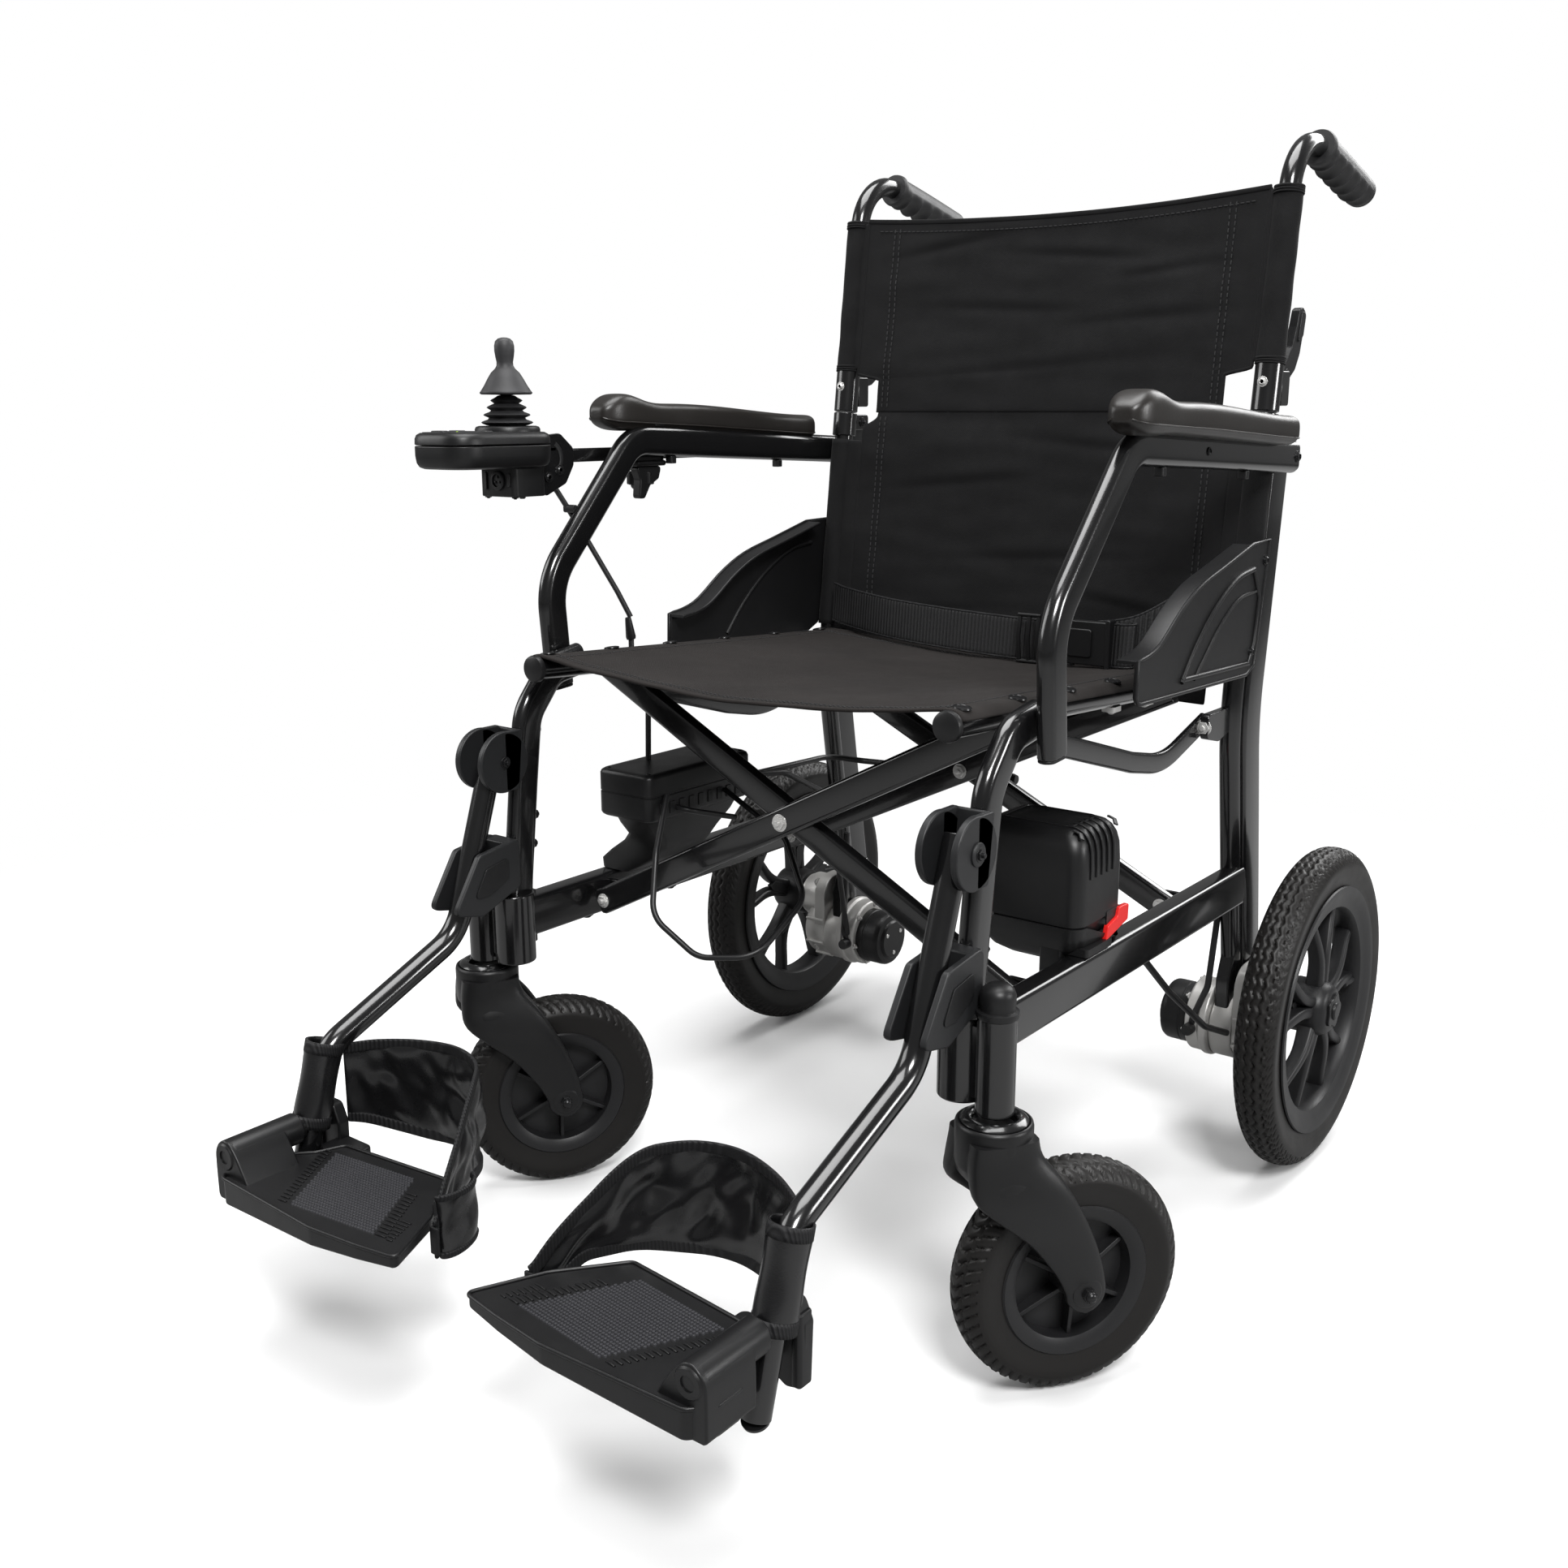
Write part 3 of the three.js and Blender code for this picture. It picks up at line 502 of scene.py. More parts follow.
BACK = material("back_fabric", woven, (0.0034, 0.0034, 0.0037), (0.0085, 0.0084, 0.0088), "X", "Z", 620,
                0.00035, Sheen_Weight=0.03, Sheen_Roughness=0.4, Specular_IOR_Level=0.16)
SEAT = material("seat_fabric", woven, (0.006, 0.005, 0.0046), (0.017, 0.0143, 0.0133), "X", "Y", 560,
                0.0004, Sheen_Weight=0.03, Sheen_Roughness=0.45, Specular_IOR_Level=0.14)
WEBBING = material("belt_webbing", ribbed, (0.003, 0.003, 0.0033), (0.017, 0.017, 0.018), "X", 240, 0.0008,
                   Specular_IOR_Level=0.4)
BINDING = material("edge_binding", ribbed, (0.0035, 0.0035, 0.004), (0.0125, 0.0125, 0.0135), "Y", 480,
                   0.0005, Specular_IOR_Level=0.3)
NYLON = material("strap_nylon", grained, (0.003, 0.003, 0.0034), (0.0065, 0.0065, 0.007), 0.2, 0.34, 900,
                 0.00012, Coat_Weight=0.35, Coat_Roughness=0.2, Specular_IOR_Level=0.5)
PAD = material("arm_pad_skin", grained, (0.0085, 0.0074, 0.0066), (0.0155, 0.0135, 0.012), 0.3, 0.44, 1100,
               0.00012, Specular_IOR_Level=0.45)
THREAD = material("stitching", woven, (0.016, 0.016, 0.0165), (0.034, 0.034, 0.035), "X", "Z", 1500,
                  0.0001, Specular_IOR_Level=0.3)
CABLE = material("cable_jacket", coated, (0.004, 0.004, 0.0045), (0.008, 0.008, 0.0085), 0.34, 0.5, 1500,
                 0.00005)
BLACK_BOLT = material("black_bolts", coated, (0.01, 0.01, 0.0105), (0.022, 0.022, 0.023), 0.2, 0.34, 900,
                      0.00005, Metallic=0.5)


def piece(name, shape, mat, body, replaces=(), bevel=0.0, segments=2, subdivide=0, angle=38, solidify=0.0):
    """Makes a Blender mesh from a shape, gives it its finish and lets it ride on a CAD body."""
    mesh = bpy.data.meshes.new(name)
    mesh.from_pydata([v * MM + WHEELS_AT for v in shape.verts], [], shape.faces)
    mesh.validate()
    obj = bpy.data.objects.new(name, mesh)
    bpy.context.scene.collection.objects.link(obj)
    work = bmesh.new()
    work.from_mesh(mesh)
    bmesh.ops.remove_doubles(work, verts=work.verts, dist=1e-6)
    bmesh.ops.recalc_face_normals(work, faces=work.faces)
    work.to_mesh(mesh)
    work.free()
    mesh.polygons.foreach_set("use_smooth", [True] * len(mesh.polygons))
    if not subdivide:
        mesh.set_sharp_from_angle(angle=math.radians(angle))
    mesh.materials.append(mat)
    if solidify:
        thick = obj.modifiers.new("thickness", "SOLIDIFY")
        thick.thickness = solidify * MM
        thick.offset = 0
    if bevel:
        edge = obj.modifiers.new("edges", "BEVEL")
        edge.width = bevel * MM
        edge.segments = segments
        edge.limit_method = "ANGLE"
        edge.angle_limit = math.radians(angle)
        edge.harden_normals = True
    if subdivide:
        surface = obj.modifiers.new("surface", "SUBSURF")
        surface.levels = surface.render_levels = subdivide
    if body:
        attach(obj, body)
    if replaces:
        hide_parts(*replaces)
    return obj


def both(name, shape, mat, body, replaces=(), **options):
    """The piece on the left and its mirror image on the right; body and replaced names end in the side."""
    for side, sign in SIDES:
        made = shape.copy() if sign > 0 else shape.mirror()
        piece(f"{name}_{side}", made, mat, body.format(side), [n.format(side) for n in replaces], **options)


# ---------- side frames ----------
RAIL_X, LEG_X, POST_X, POST_OUT = 233, 232, 229, 234


def back_tube_y(z):
    return -50 + (z - 425) * (0.1223 if z > 425 else -0.169)


def side_frames():
    rail = block(RAIL_X - 10, RAIL_X + 10, -500, -22, 246, 283, 4.5, "y")
    both("lower_rail", rail, PAINT, "{}_side", ["side_frame_{}"], bevel=1.2)
    leg = fillet([(LEG_X, -510, 226), (LEG_X, -504, 300), (LEG_X, -494, 385), (LEG_X, -486, 446),
                  (LEG_X, -456, 481), (LEG_X, -420, 487)], [120, 90, 40, 30], 7)
    both("front_leg", sweep(leg, rounded(15, 29, 7.4, 7)), PAINT, "{}_side", bevel=1)
    socket = merged(lathe([(0, 227), (17.2, 227), (18, 228), (18, 289), (17.2, 290), (0, 290)], "z",
                          (LEG_X, -511, 0), 44),
                    block(LEG_X, 262, -522, -508, 232, 286, 3), block(226, 241, -512, -488, 240, 288, 3))
    both("leg_socket", socket, PAINT, "{}_side", bevel=0.7)
    stem = lathe([(0, 224), (13.2, 224), (14, 225), (14, 295.4), (13.2, 296), (0, 296)], "z",
                 STEM, 44)
    both("stem_housing", stem, PAINT, "{}_side")
    cap = lathe([(0, 296), (14.8, 296), (15.2, 297), (15.2, 300.4), (12.6, 301.2), (12.2, 303),
                 (12.8, 305), (12.8, 312), (11.4, 316), (7.5, 319.2), (0, 320)], "z", STEM, 44)
    both("stem_cap", cap, PLASTIC, "{}_side")
    tube_path = fillet([(POST_X, back_tube_y(150), 150), (POST_X, -50, 425),
                        (POST_X, back_tube_y(700), 700)], [260], 10)
    both("back_tube", sweep(tube_path, circle(9.5, 28)), PAINT, "{}_side", bevel=0.6)
    post_path = fillet([(POST_OUT, back_tube_y(148) + 23, 148), (POST_OUT, -27, 425),
                        (POST_OUT, back_tube_y(684) + 22, 684)], [260], 10)
    both("flat_post", sweep(post_path, rounded(15, 36, 3.2, 4)), PAINT, "{}_side", bevel=1)
    plate = prism([(-26, 128), (30, 128), (34, 168), (26, 200), (-14, 204), (-28, 168)], "x", 222, 236)
    both("gear_plate", plate, PAINT, "{}_side", bevel=2.5, segments=3)
    lug = blend_ring([(200, 254), (200, 276), (225, 276), (225, 254)], 5)
    both("brace_lugs", merged(*(prism(lug, "y", y, y + 5) for y in BRACE_LUG_Y)), PAINT, "{}_side", bevel=0.8)
    lug_bolts = merged(*(bolt((206, y + 5, 265), "y", 4.2, 3, 1, True) for y in BRACE_LUG_Y))
    both("brace_lug_bolts", lug_bolts, ZINC, "{}_side", bevel=0.4)
    bracket = prism(blend_ring([(-104, 440), (-42, 440), (-42, 420), (-78, 412), (-104, 418)], 6), "x",
                    223.5, 231)
    both("stay_bracket", bracket, PAINT, "{}_side", bevel=0.8)
    tip = tube([(232, 18, 160), (232, 44, 112), (232, 126, 106.5)], [34], 9.6, 22)
    both("anti_tip_tube", tip, PAINT, "{}_side", bevel=0.5)
    foot = lathe([(0, -20), (12.6, -20), (13.4, -19), (13.4, -1), (12, 3), (8, 5), (0, 5.6)], "y",
                 (232, 137, 106.2), 32)
    both("anti_tip_foot", foot, RUBBER, "{}_side")
    screws = merged(*(bolt((RAIL_X, y, 246), "z", 4.2, 2.4, -1) for y in (-420, -376, -304, -160, -84)))
    both("rail_screws", screws, BLACK_BOLT, "{}_side")
    both("armrest_pivot_boss", bolt((225.6, -5, 662), "x", 4.4, 0.1, -1), BLACK_BOLT, "{}_side")


def front_catches():
    cheek = blend_ring([(-592, 290), (-562, 337), (-516, 343), (-516, 300), (-560, 283)], 7)
    shape = merged(prism(cheek, "x", 244.6, 250.6), prism(cheek, "x", 215.2, 221.2),
                   block(217, 249, -530, -514, 300, 341, 3))
    both("footrest_catch", shape, GREY, "{}_side", bevel=1.6, segments=3)
    panel = blend_ring([(-570, 300), (-556, 324), (-530, 329), (-530, 311), (-552, 300)], 4)
    panels = merged(*(prism(panel, "x", x, x + 1.2) for x in (250.6, 214.0)))
    both("footrest_catch_panel", panels, PLASTIC, "{}_side", bevel=0.4)
    screws = merged(*(bolt((LEG_X, -484 - (385 - z) * 0.12 + 3, z), "y", 3.6, 5, 1, True)
                      for z in (355, 329)))
    both("leg_screws", screws, PLASTIC, "{}_side", bevel=0.4)


def skirt_guards():
    edge = [(-26, 590)] + blend_curve([(-64, 588), (-120, 574), (-168, 562), (-204, 546), (-240, 523),
                                       (-262, 515), (-284, 512)], 22)
    lower = [(-285, 483), (-282, 478.5), (-276, 477), (-62, 472), (-46, 479), (-42, 495)]
    panel = prism(edge + lower, "x", 242.2, 245.4)
    both("guard_panel", panel, PLASTIC, "{}_side", ["skirt_guard_{}"], bevel=0.9)
    path = [(235.5, y, z - 1.5) for y, z in edge[1:]]
    flange = sweep(path, rounded(18, 3, 1.4, 4), (1, 0, 0))
    both("guard_flange", flange, PLASTIC, "{}_side", bevel=0.3)
    arc = blend_curve([(-60, 566), (-98, 560), (-140, 540), (-176, 512), (-202, 484)], 24)
    inner = blend_curve([(-52, 546), (-90, 542), (-126, 524), (-156, 500), (-176, 483)], 24)
    foot = [(-202, 486), (-130, 484), (-60, 482), (-50, 500), (-44, 540), (-60, 566)]
    ribs = Shape()
    for x, line, radius, count in ((246, arc, 2.4, 10), (245.8, inner, 1.5, 8), (246, foot, 2.2, 10),
                                   (241.8, arc, 2.0, 10)):
        ribs.add(sweep([(x, y, z) for y, z in line], circle(radius, count)))
    both("guard_ribs", ribs, PLASTIC, "{}_side")
    rim = sweep([(245.4, y, z) for y, z in edge + lower], circle(1.7, 10), (1, 0, 0), closed=True)
    both("guard_rim", rim, PLASTIC, "{}_side")
    screws = merged(bolt((245.4, -34, 572), "x", 3.2, 2), bolt((245.4, -54, 492), "x", 3.2, 2))
    both("guard_screws", screws, BLACK_BOLT, "{}_side")


# ---------- drive units and wheels ----------
def drive_units():
    body = block(243, 257, -33, 33, 92, 184, 22, "x")
    body.add(lathe([(0, 0), (33, 0), (34, 1.5), (34, 24), (31, 28), (0, 28)], "x", (243, 0, 120), 48))
    body.add(lathe([(0, 0), (26, 0), (26, 24), (23, 28), (23, 31), (0, 31)], "x", (253, 0, 152.5), 44))
    body.add(lathe([(0, 198), (35, 198), (36.5, 199.5), (36.5, 212), (38.5, 213), (38.5, 219),
                    (37, 220.6), (0, 220.6)], "x", (0, -4, 122), 56))
    both("gearbox_body", body, CAST, "{}_side", ["gearbox_{}"], bevel=1.3, segments=3)
    rib = block(244, 268, -1.6, 1.6, 29, 37, 1, "x")
    ribs = merged(*(rib.copy().turn((1, 0, 0), i * 45 + 22).move(0, 0, 120) for i in range(8)))
    both("gearbox_ribs", ribs, CAST, "{}_side", bevel=0.7)
    screws = merged(*(bolt((257, y, z), "x", 3.4, 3) for z in (100, 176) for y in (-25, 25)))
    for i in range(6):
        turn = math.radians(60 * i + 15)
        screws.add(bolt((198, -4 + 33 * math.cos(turn), 122 + 33 * math.sin(turn)), "x", 2.4, 2, -1, True))
    both("gearbox_screws", screws, ZINC, "{}_side")
    motor = lathe([(0, 166), (20, 166), (21.5, 167.5), (22, 169), (28, 170), (29.6, 172.5), (30, 176),
                   (30, 188), (29.4, 188.6), (29.4, 190), (30, 190.6), (30, 198), (0, 198)], "x",
                  MOTOR_AXIS, 56)
    both("motor_cover", motor, PLASTIC, "{}_side", ["motor_{}"])
    band = lathe([(30, 221), (33, 221.4), (33.4, 224), (33.4, 241), (32, 243), (30, 243)], "x",
                 (0, -2, 118), 56, closed=True)
    both("motor_band", band, CAST, "{}_side")
    mark = lathe([(0, 165.4), (2.2, 165.4), (2.6, 166.6), (0, 166.6)], "x", (0, 15, 0), 14)
    marks = merged(*(mark.copy().turn((1, 0, 0), 120 * i + 30).move(*MOTOR_AXIS) for i in range(3)))
    both("motor_cap_screws", marks, ZINC, "{}_side")
    lead = tube([(205, -34, 118), (205, -48, 118), (216, -30, 160), (219, -22, 240)], [12, 20], 3.1, 12)
    plug = lathe([(0, -8), (5.2, -8), (5.8, -6), (5.8, 6), (4, 9), (0, 9)], "y", (205, -42, 118), 20)
    both("motor_lead", merged(lead, plug), CABLE, "{}_side")


def tread(profile, centre, rounds, pattern):
    """A tyre whose crown is cut: pattern(angle, across, radius) gives the depth of the grooves in mm."""
    dense = []
    for (r0, h0), (r1, h1) in zip(profile, profile[1:]):
        steps = max(1, round(math.hypot(r1 - r0, h1 - h0) / 1.5))
        dense += [(r0 + (r1 - r0) * i / steps, h0 + (h1 - h0) * i / steps) for i in range(steps)]
    shape = Shape()
    for i in range(rounds):
        angle = i / rounds * math.tau
        c, s = math.cos(angle), math.sin(angle)
        for r, h in dense:
            depth = pattern(angle, h, r)
            shape.verts.append(Vector((h, (r - depth) * c, (r - depth) * s)) + Vector(centre))
    count = len(dense)
    for i in range(rounds):
        n = (i + 1) % rounds
        for k in range(count):
            m = (k + 1) % count
            shape.faces.append((i * count + k, i * count + m, n * count + m, n * count + k))
    return shape


def tyre_profile(radius, bead, half, steps=30):
    """Half-round section with a flatter crown, from bead to bead, then back along the inside."""
    points = []
    tall = radius - bead
    for i in range(steps + 1):
        angle = math.pi * i / steps
        side = -math.cos(angle)
        rise = max(0.0, math.sin(angle))
        wide = half * math.copysign(abs(side) ** 0.82, side) * (0.78 + 0.22 * min(1, rise * 2.2))
        points.append((bead + tall * rise ** 0.72, wide))
    return points


def groove(value, width):
    """1 inside a groove centred on 0 and 0 outside, with short slopes."""
    return max(0.0, min(1.0, 1.6 - abs(value) / width * 1.6))


def drive_tread(angle, across, radius):
    if radius < 138:
        return groove(radius - 127, 1.0) * 0.5
    arc = angle * DRIVE_AXLE[2]
    wave = 1.7 * (abs((arc / 6.1) % 2 - 1) * 2 - 1)
    cut = max(groove(across - line - wave, 1.3) for line in (-10.5, -3.6, 3.6, 10.5))
    sipe = groove((arc + 3 * across) % 6.1 - 3.05, 0.9) if 12 < abs(across) < 17.5 else 0
    return 2.3 * cut + 1.6 * sipe


def caster_tread(angle, across, radius):
    if radius < 80:
        return groove(radius - 72, 0.9) * 0.5
    arc = angle * CASTER_AXLE[2]
    chevron = (arc + 0.9 * abs(across)) % 9.8 - 4.9
    cut = groove(chevron, 1.7) if 1.6 < abs(across) < 17.5 else 0
    return 2.5 * max(cut, groove(abs(across) - 9, 1.0) * 0.8)


def drive_wheels():
    section = tyre_profile(DRIVE_AXLE[2], 118, 20.8) + [(118, 16), (117.6, 0), (118, -16)]
    tyre = tread(section, DRIVE_AXLE, 576, drive_tread)
    both("drive_tyre_tread", tyre, TYRE, "drive_{}", ["drive_tyre_{}"], angle=60)
    ring = lathe([(116.6, -16.5), (118.5, -17.5), (117.8, -19), (112, -18.6), (106, -16), (98, -14),
                  (95.5, -10), (95.5, 10), (98, 14), (106, 16), (112, 18.6), (117.8, 19), (118.5, 17.5),
                  (116.6, 16.5)], "x", DRIVE_AXLE, 96, closed=True)
    both("drive_rim_ring", ring, HUB, "drive_{}", ["drive_rim_{}"])
    spokes = Shape()
    for i in range(5):
        for sign in (-1, 1):
            path = [(310, 5 * sign, 20), (311, 6.5 * sign, 44), (310, 12 * sign, 62),
                    (307, 22 * sign, 82), (305, 27.5 * sign, 95.5)]
            arm = sweep(smooth_path(path, 14), rounded(17, 9.5, 3.6, 4), (1, 0, 0),
                        lambda t: (1 - 0.18 * math.sin(t * math.pi), 1.15 - 0.35 * t))
            spokes.add(arm.turn((1, 0, 0), 72 * i).move(0, 0, DRIVE_AXLE[2]))
        web = prism([(-5, 24), (5, 24), (6, 50), (0, 58), (-6, 50)], "x", 303, 308)
        spokes.add(web.turn((1, 0, 0), 72 * i).move(0, 0, DRIVE_AXLE[2]))
    both("drive_spokes", spokes, HUB, "drive_{}", bevel=0.5)
    hub = lathe([(0, -21), (20, -21), (24, -19), (26, -14), (26, 12), (23, 18), (20, 20.5), (17, 21),
                 (0, 21)], "x", DRIVE_AXLE, 56)
    both("drive_hub", hub, HUB, "drive_{}")
    boss = merged(prism(lobed_ring(15.5, 1.7, 5, 60), "x", 326, 329.6).move(0, 0, DRIVE_AXLE[2]),
                  lathe([(0, 0), (8.5, 0), (8.5, 2), (7, 3.4), (0, 3.6)], "x", (328.6, 0, 152.5), 32))
    both("hub_cap", boss, PLASTIC, "drive_{}", bevel=1.0, segments=3)
    valve = lathe([(0, 0), (3.2, 0), (3.2, 9), (2.6, 10), (2.6, 20), (0, 20.6)], "y", count=14)
    both("valve", valve.turn((1, 0, 0), 180).move(313, 94, 152.5), RUBBER, "drive_{}")


def fork_blade(sign):
    """One curved arm of the caster fork, from inside the cup to the eye round the axle."""
    front = smooth_path([(0, -25, 210), (0, -27, 190), (0, -25, 170), (0, -7, 153), (0, 15, 134),
                         (0, 29, 117), (0, 38, 104), (0, 44.6, 91), (0, 47, 82), (0, 53, 76),
                         (0, 59, 73.8)], 44)
    rear = smooth_path([(0, 25, 210), (0, 28, 197), (0, 40, 181), (0, 53, 159), (0, 66, 132),
                        (0, 73.6, 110), (0, 76.4, 97), (0, 77.4, 89), (0, 75.5, 81), (0, 69.5, 75.4),
                        (0, 63, 73.8)], 44)
    rows = []
    for i, (a, b) in enumerate(zip(front, rear)):
        t = i / 43
        rise = min(1.0, t / 0.34)
        out = 15 + 15.2 * rise * rise * (3 - 2 * rise) - 0.6 * t
        thick = 13 - 8.8 * min(1.0, t / 0.4)
        crown = 1.5 * math.sin(math.pi * min(1.0, t * 1.15))
        across = (b - a) / 2
        middle = (a + b) / 2
        rows.append([middle + across * u
                     + Vector((sign * (out + v * thick + crown * (1 - u * u) * (v > 0)), 0, 0))
                     for u, v in soft_ring(1, 1, 0.75, 0.5, 28)])
    return ring_rows(rows)


def casters():
    """Built at the stem with the trail along +Y, then swivelled as the CAD caster is."""
    turn = math.degrees(math.atan2(-0.54464, 0.83867))
    cup = lathe([(0, 187), (27.2, 187), (28, 190), (28, 216), (27.4, 218.4), (26, 219.2), (24.6, 218.2),
                 (24.2, 215), (0, 215)], "z", count=56)
    stations = ((193, 27.6, 27.2, -0.5, 1.0), (187, 30.0, 26.8, 0.5, 0.9), (181, 33.2, 26.0, 2, 0.72),
                (176.5, 33.6, 22.0, 0.5, 0.62))
    crown = ring_rows([[Vector((a, b + shift, z)) for a, b in soft_ring(wide, deep, power, power, 48)]
                       for z, wide, deep, shift, power in stations])
    lip = lathe([(15.2, 214), (24, 214), (24.8, 216.4), (24.4, 219.6), (21.6, 222.2), (18.4, 222.8),
                 (16.4, 221.6), (15.2, 219.4)], "z", count=56, closed=True)
    fork = merged(cup, crown, fork_blade(1), fork_blade(-1))
    axle = Shape()
    for sign in (-1, 1):
        eye = lathe([(0, 0), (10.6, 0), (11.6, 0.8), (11.6, 2.0), (10.4, 2.8), (0, 2.8)], "x", count=36)
        nut = merged(prism(circle(5.6, 6), "x", 0, 4),
                     lathe([(0, 3.4), (4.4, 3.4), (4.2, 5.8), (2.8, 7.6), (0, 8.4)], "x", count=24))
        if sign < 0:
            eye.turn((0, 0, 1), 180)
            nut.turn((0, 0, 1), 180)
        fork.add(eye.move(sign * 32.4, *CASTER_AXLE[1:]))
        axle.add(nut.move(sign * 35.2, *CASTER_AXLE[1:]))
    section = tyre_profile(CASTER_AXLE[2], 58.6, 20.8, 26) + [(58.6, 15), (58.2, 0), (58.6, -15)]
    tyre = tread(section, CASTER_AXLE, 400, caster_tread)
    ring = lathe([(57.6, -15), (58.8, -16.5), (57.6, -18), (52, -17.2), (47, -14), (46, -8), (46, 8),
                  (47, 14), (52, 17.2), (57.6, 18), (58.8, 16.5), (57.6, 15)], "x",
                 CASTER_AXLE, 72, closed=True)
    hub = lathe([(0, -23.6), (9, -23.6), (12, -22), (14, -8), (14, 8), (12, 22), (9, 23.6), (0, 23.6)],
                "x", CASTER_AXLE, 40)
    hub.add(lathe([(0, -2), (47, -2), (47, 2), (0, 2)], "x", CASTER_AXLE, 48))
    for i in range(6):
        fin = prism([(11, -14), (47, -10), (47, 10), (11, 14)], "z", -1.7, 1.7)
        fin.verts = [Vector((v.y, v.x, v.z)) for v in fin.verts]
        hub.add(fin.turn((1, 0, 0), 60 * i + 30).move(*CASTER_AXLE))
    for side, sign in SIDES:
        for name, shape, mat, body, cad, options in (
                ("caster_fork_body", fork, PLASTIC, "swivel", ["caster_fork"], dict(angle=50)),
                ("caster_fork_lip", lip, PAINT, "swivel", [], {}),
                ("caster_axle_nuts", axle, BLACK_BOLT, "swivel", [], dict(bevel=0.3)),
                ("caster_tyre_tread", tyre, TYRE, "caster", ["caster_tyre"], dict(angle=60)),
                ("caster_rim", ring, HUB, "caster", ["caster_hub"], {}),
                ("caster_spokes", hub, HUB, "caster", [], dict(bevel=0.6))):
            made = shape.copy().turn(UP, turn).move(sign * STEM[0], STEM[1], 0)
            piece(f"{name}_{side}", made, mat, f"{body}_{side}", [f"{n}_{side}" for n in cad], **options)


# ---------- footrests ----------
HX = 233  # the middle of a hanger
PLATE_PIN = (HX, 0, 154)


def footrests():
    disc = [(a - 528, b + 412) for a, b in circle(26.5, 48)]
    flap = blend_ring([(-528, 438), (-506, 438), (-512, 386), (-528, 386)], 3)
    cheeks = merged(*(prism(ring, "x", x, x + 6) for ring in (disc, flap) for x in (244, 216)),
                    prism([(-513, 387), (-509.4, 387), (-504.6, 437), (-508.5, 437)], "x", 218, 248))
    both("hanger_bracket_cheeks", cheeks, GREY, "{}_side", ["hanger_bracket_{}"], bevel=1.4, segments=3)
    faces = lathe([(0, 0), (8.6, 0), (8.6, 1.2), (7.4, 2), (0, 2)], "x", (250, -528, 412), 36)
    both("hanger_bracket_face", faces, GREY, "{}_side", bevel=0.3)
    pin = merged(bolt((251.6, -528, 412), "x", 3.6, 2.6, 1, True),
                 bolt((216, -528, 412), "x", 3.6, 2.4, -1, True))
    both("hanger_pivot_bolt", pin, BLACK_BOLT, "{}_side", bevel=0.3)
    bumper = lathe([(0, 0), (5, 0), (5, 9), (3.2, 14), (0, 15)], "y", count=20)
    bumpers = merged(bumper.copy().move(232, -487, 431), bumper.copy().move(232, -492, 398))
    both("leg_bumpers", bumpers, RUBBER, "{}_side")
    shaft = tube([(HX, -525, 423), (HX, -577, 268), (HX, -716, 209), (HX, -749, 96)], [45, 40], 10, 28, 12)
    both("hanger_shaft", shaft, PAINT, "hanger_{}", ["hanger_tube_{}"], bevel=0.8)
    plug = lathe([(0, -4), (7, -4), (9, -2.6), (9.6, 0), (0, 0)], count=28)
    plug.turn((1, 0, 0), 16).move(HX, -749, 96)
    both("hanger_end_plug", plug, PLASTIC, "hanger_{}")
    pin = merged(lathe([(0, -750), (4, -750), (4, -709), (0, -709)], "y", PLATE_PIN, 18),
                 lathe([(5, -748), (9.5, -747.5), (9.5, -744), (5, -743.4)], "y", PLATE_PIN, 28, closed=True))
    both("footplate_pin", pin, BLACK_BOLT, "hanger_{}", bevel=0.3)


def plate_point(s, t):
    """A point of the tread area: s from its inner to its outer side, t from front to rear."""
    return Vector((76 + 84 * s + 40 * t, -797 - 10 * s + 69 * t, 138.2))


def plate_ridge(start, stop, t, lift, *size):
    """A raised line on the plate from start to stop, at t."""
    return arch(plate_point(start, t), plate_point(stop, t), (0, 0, lift), rounded(*size, 2), (0.5, 0.86, 0))


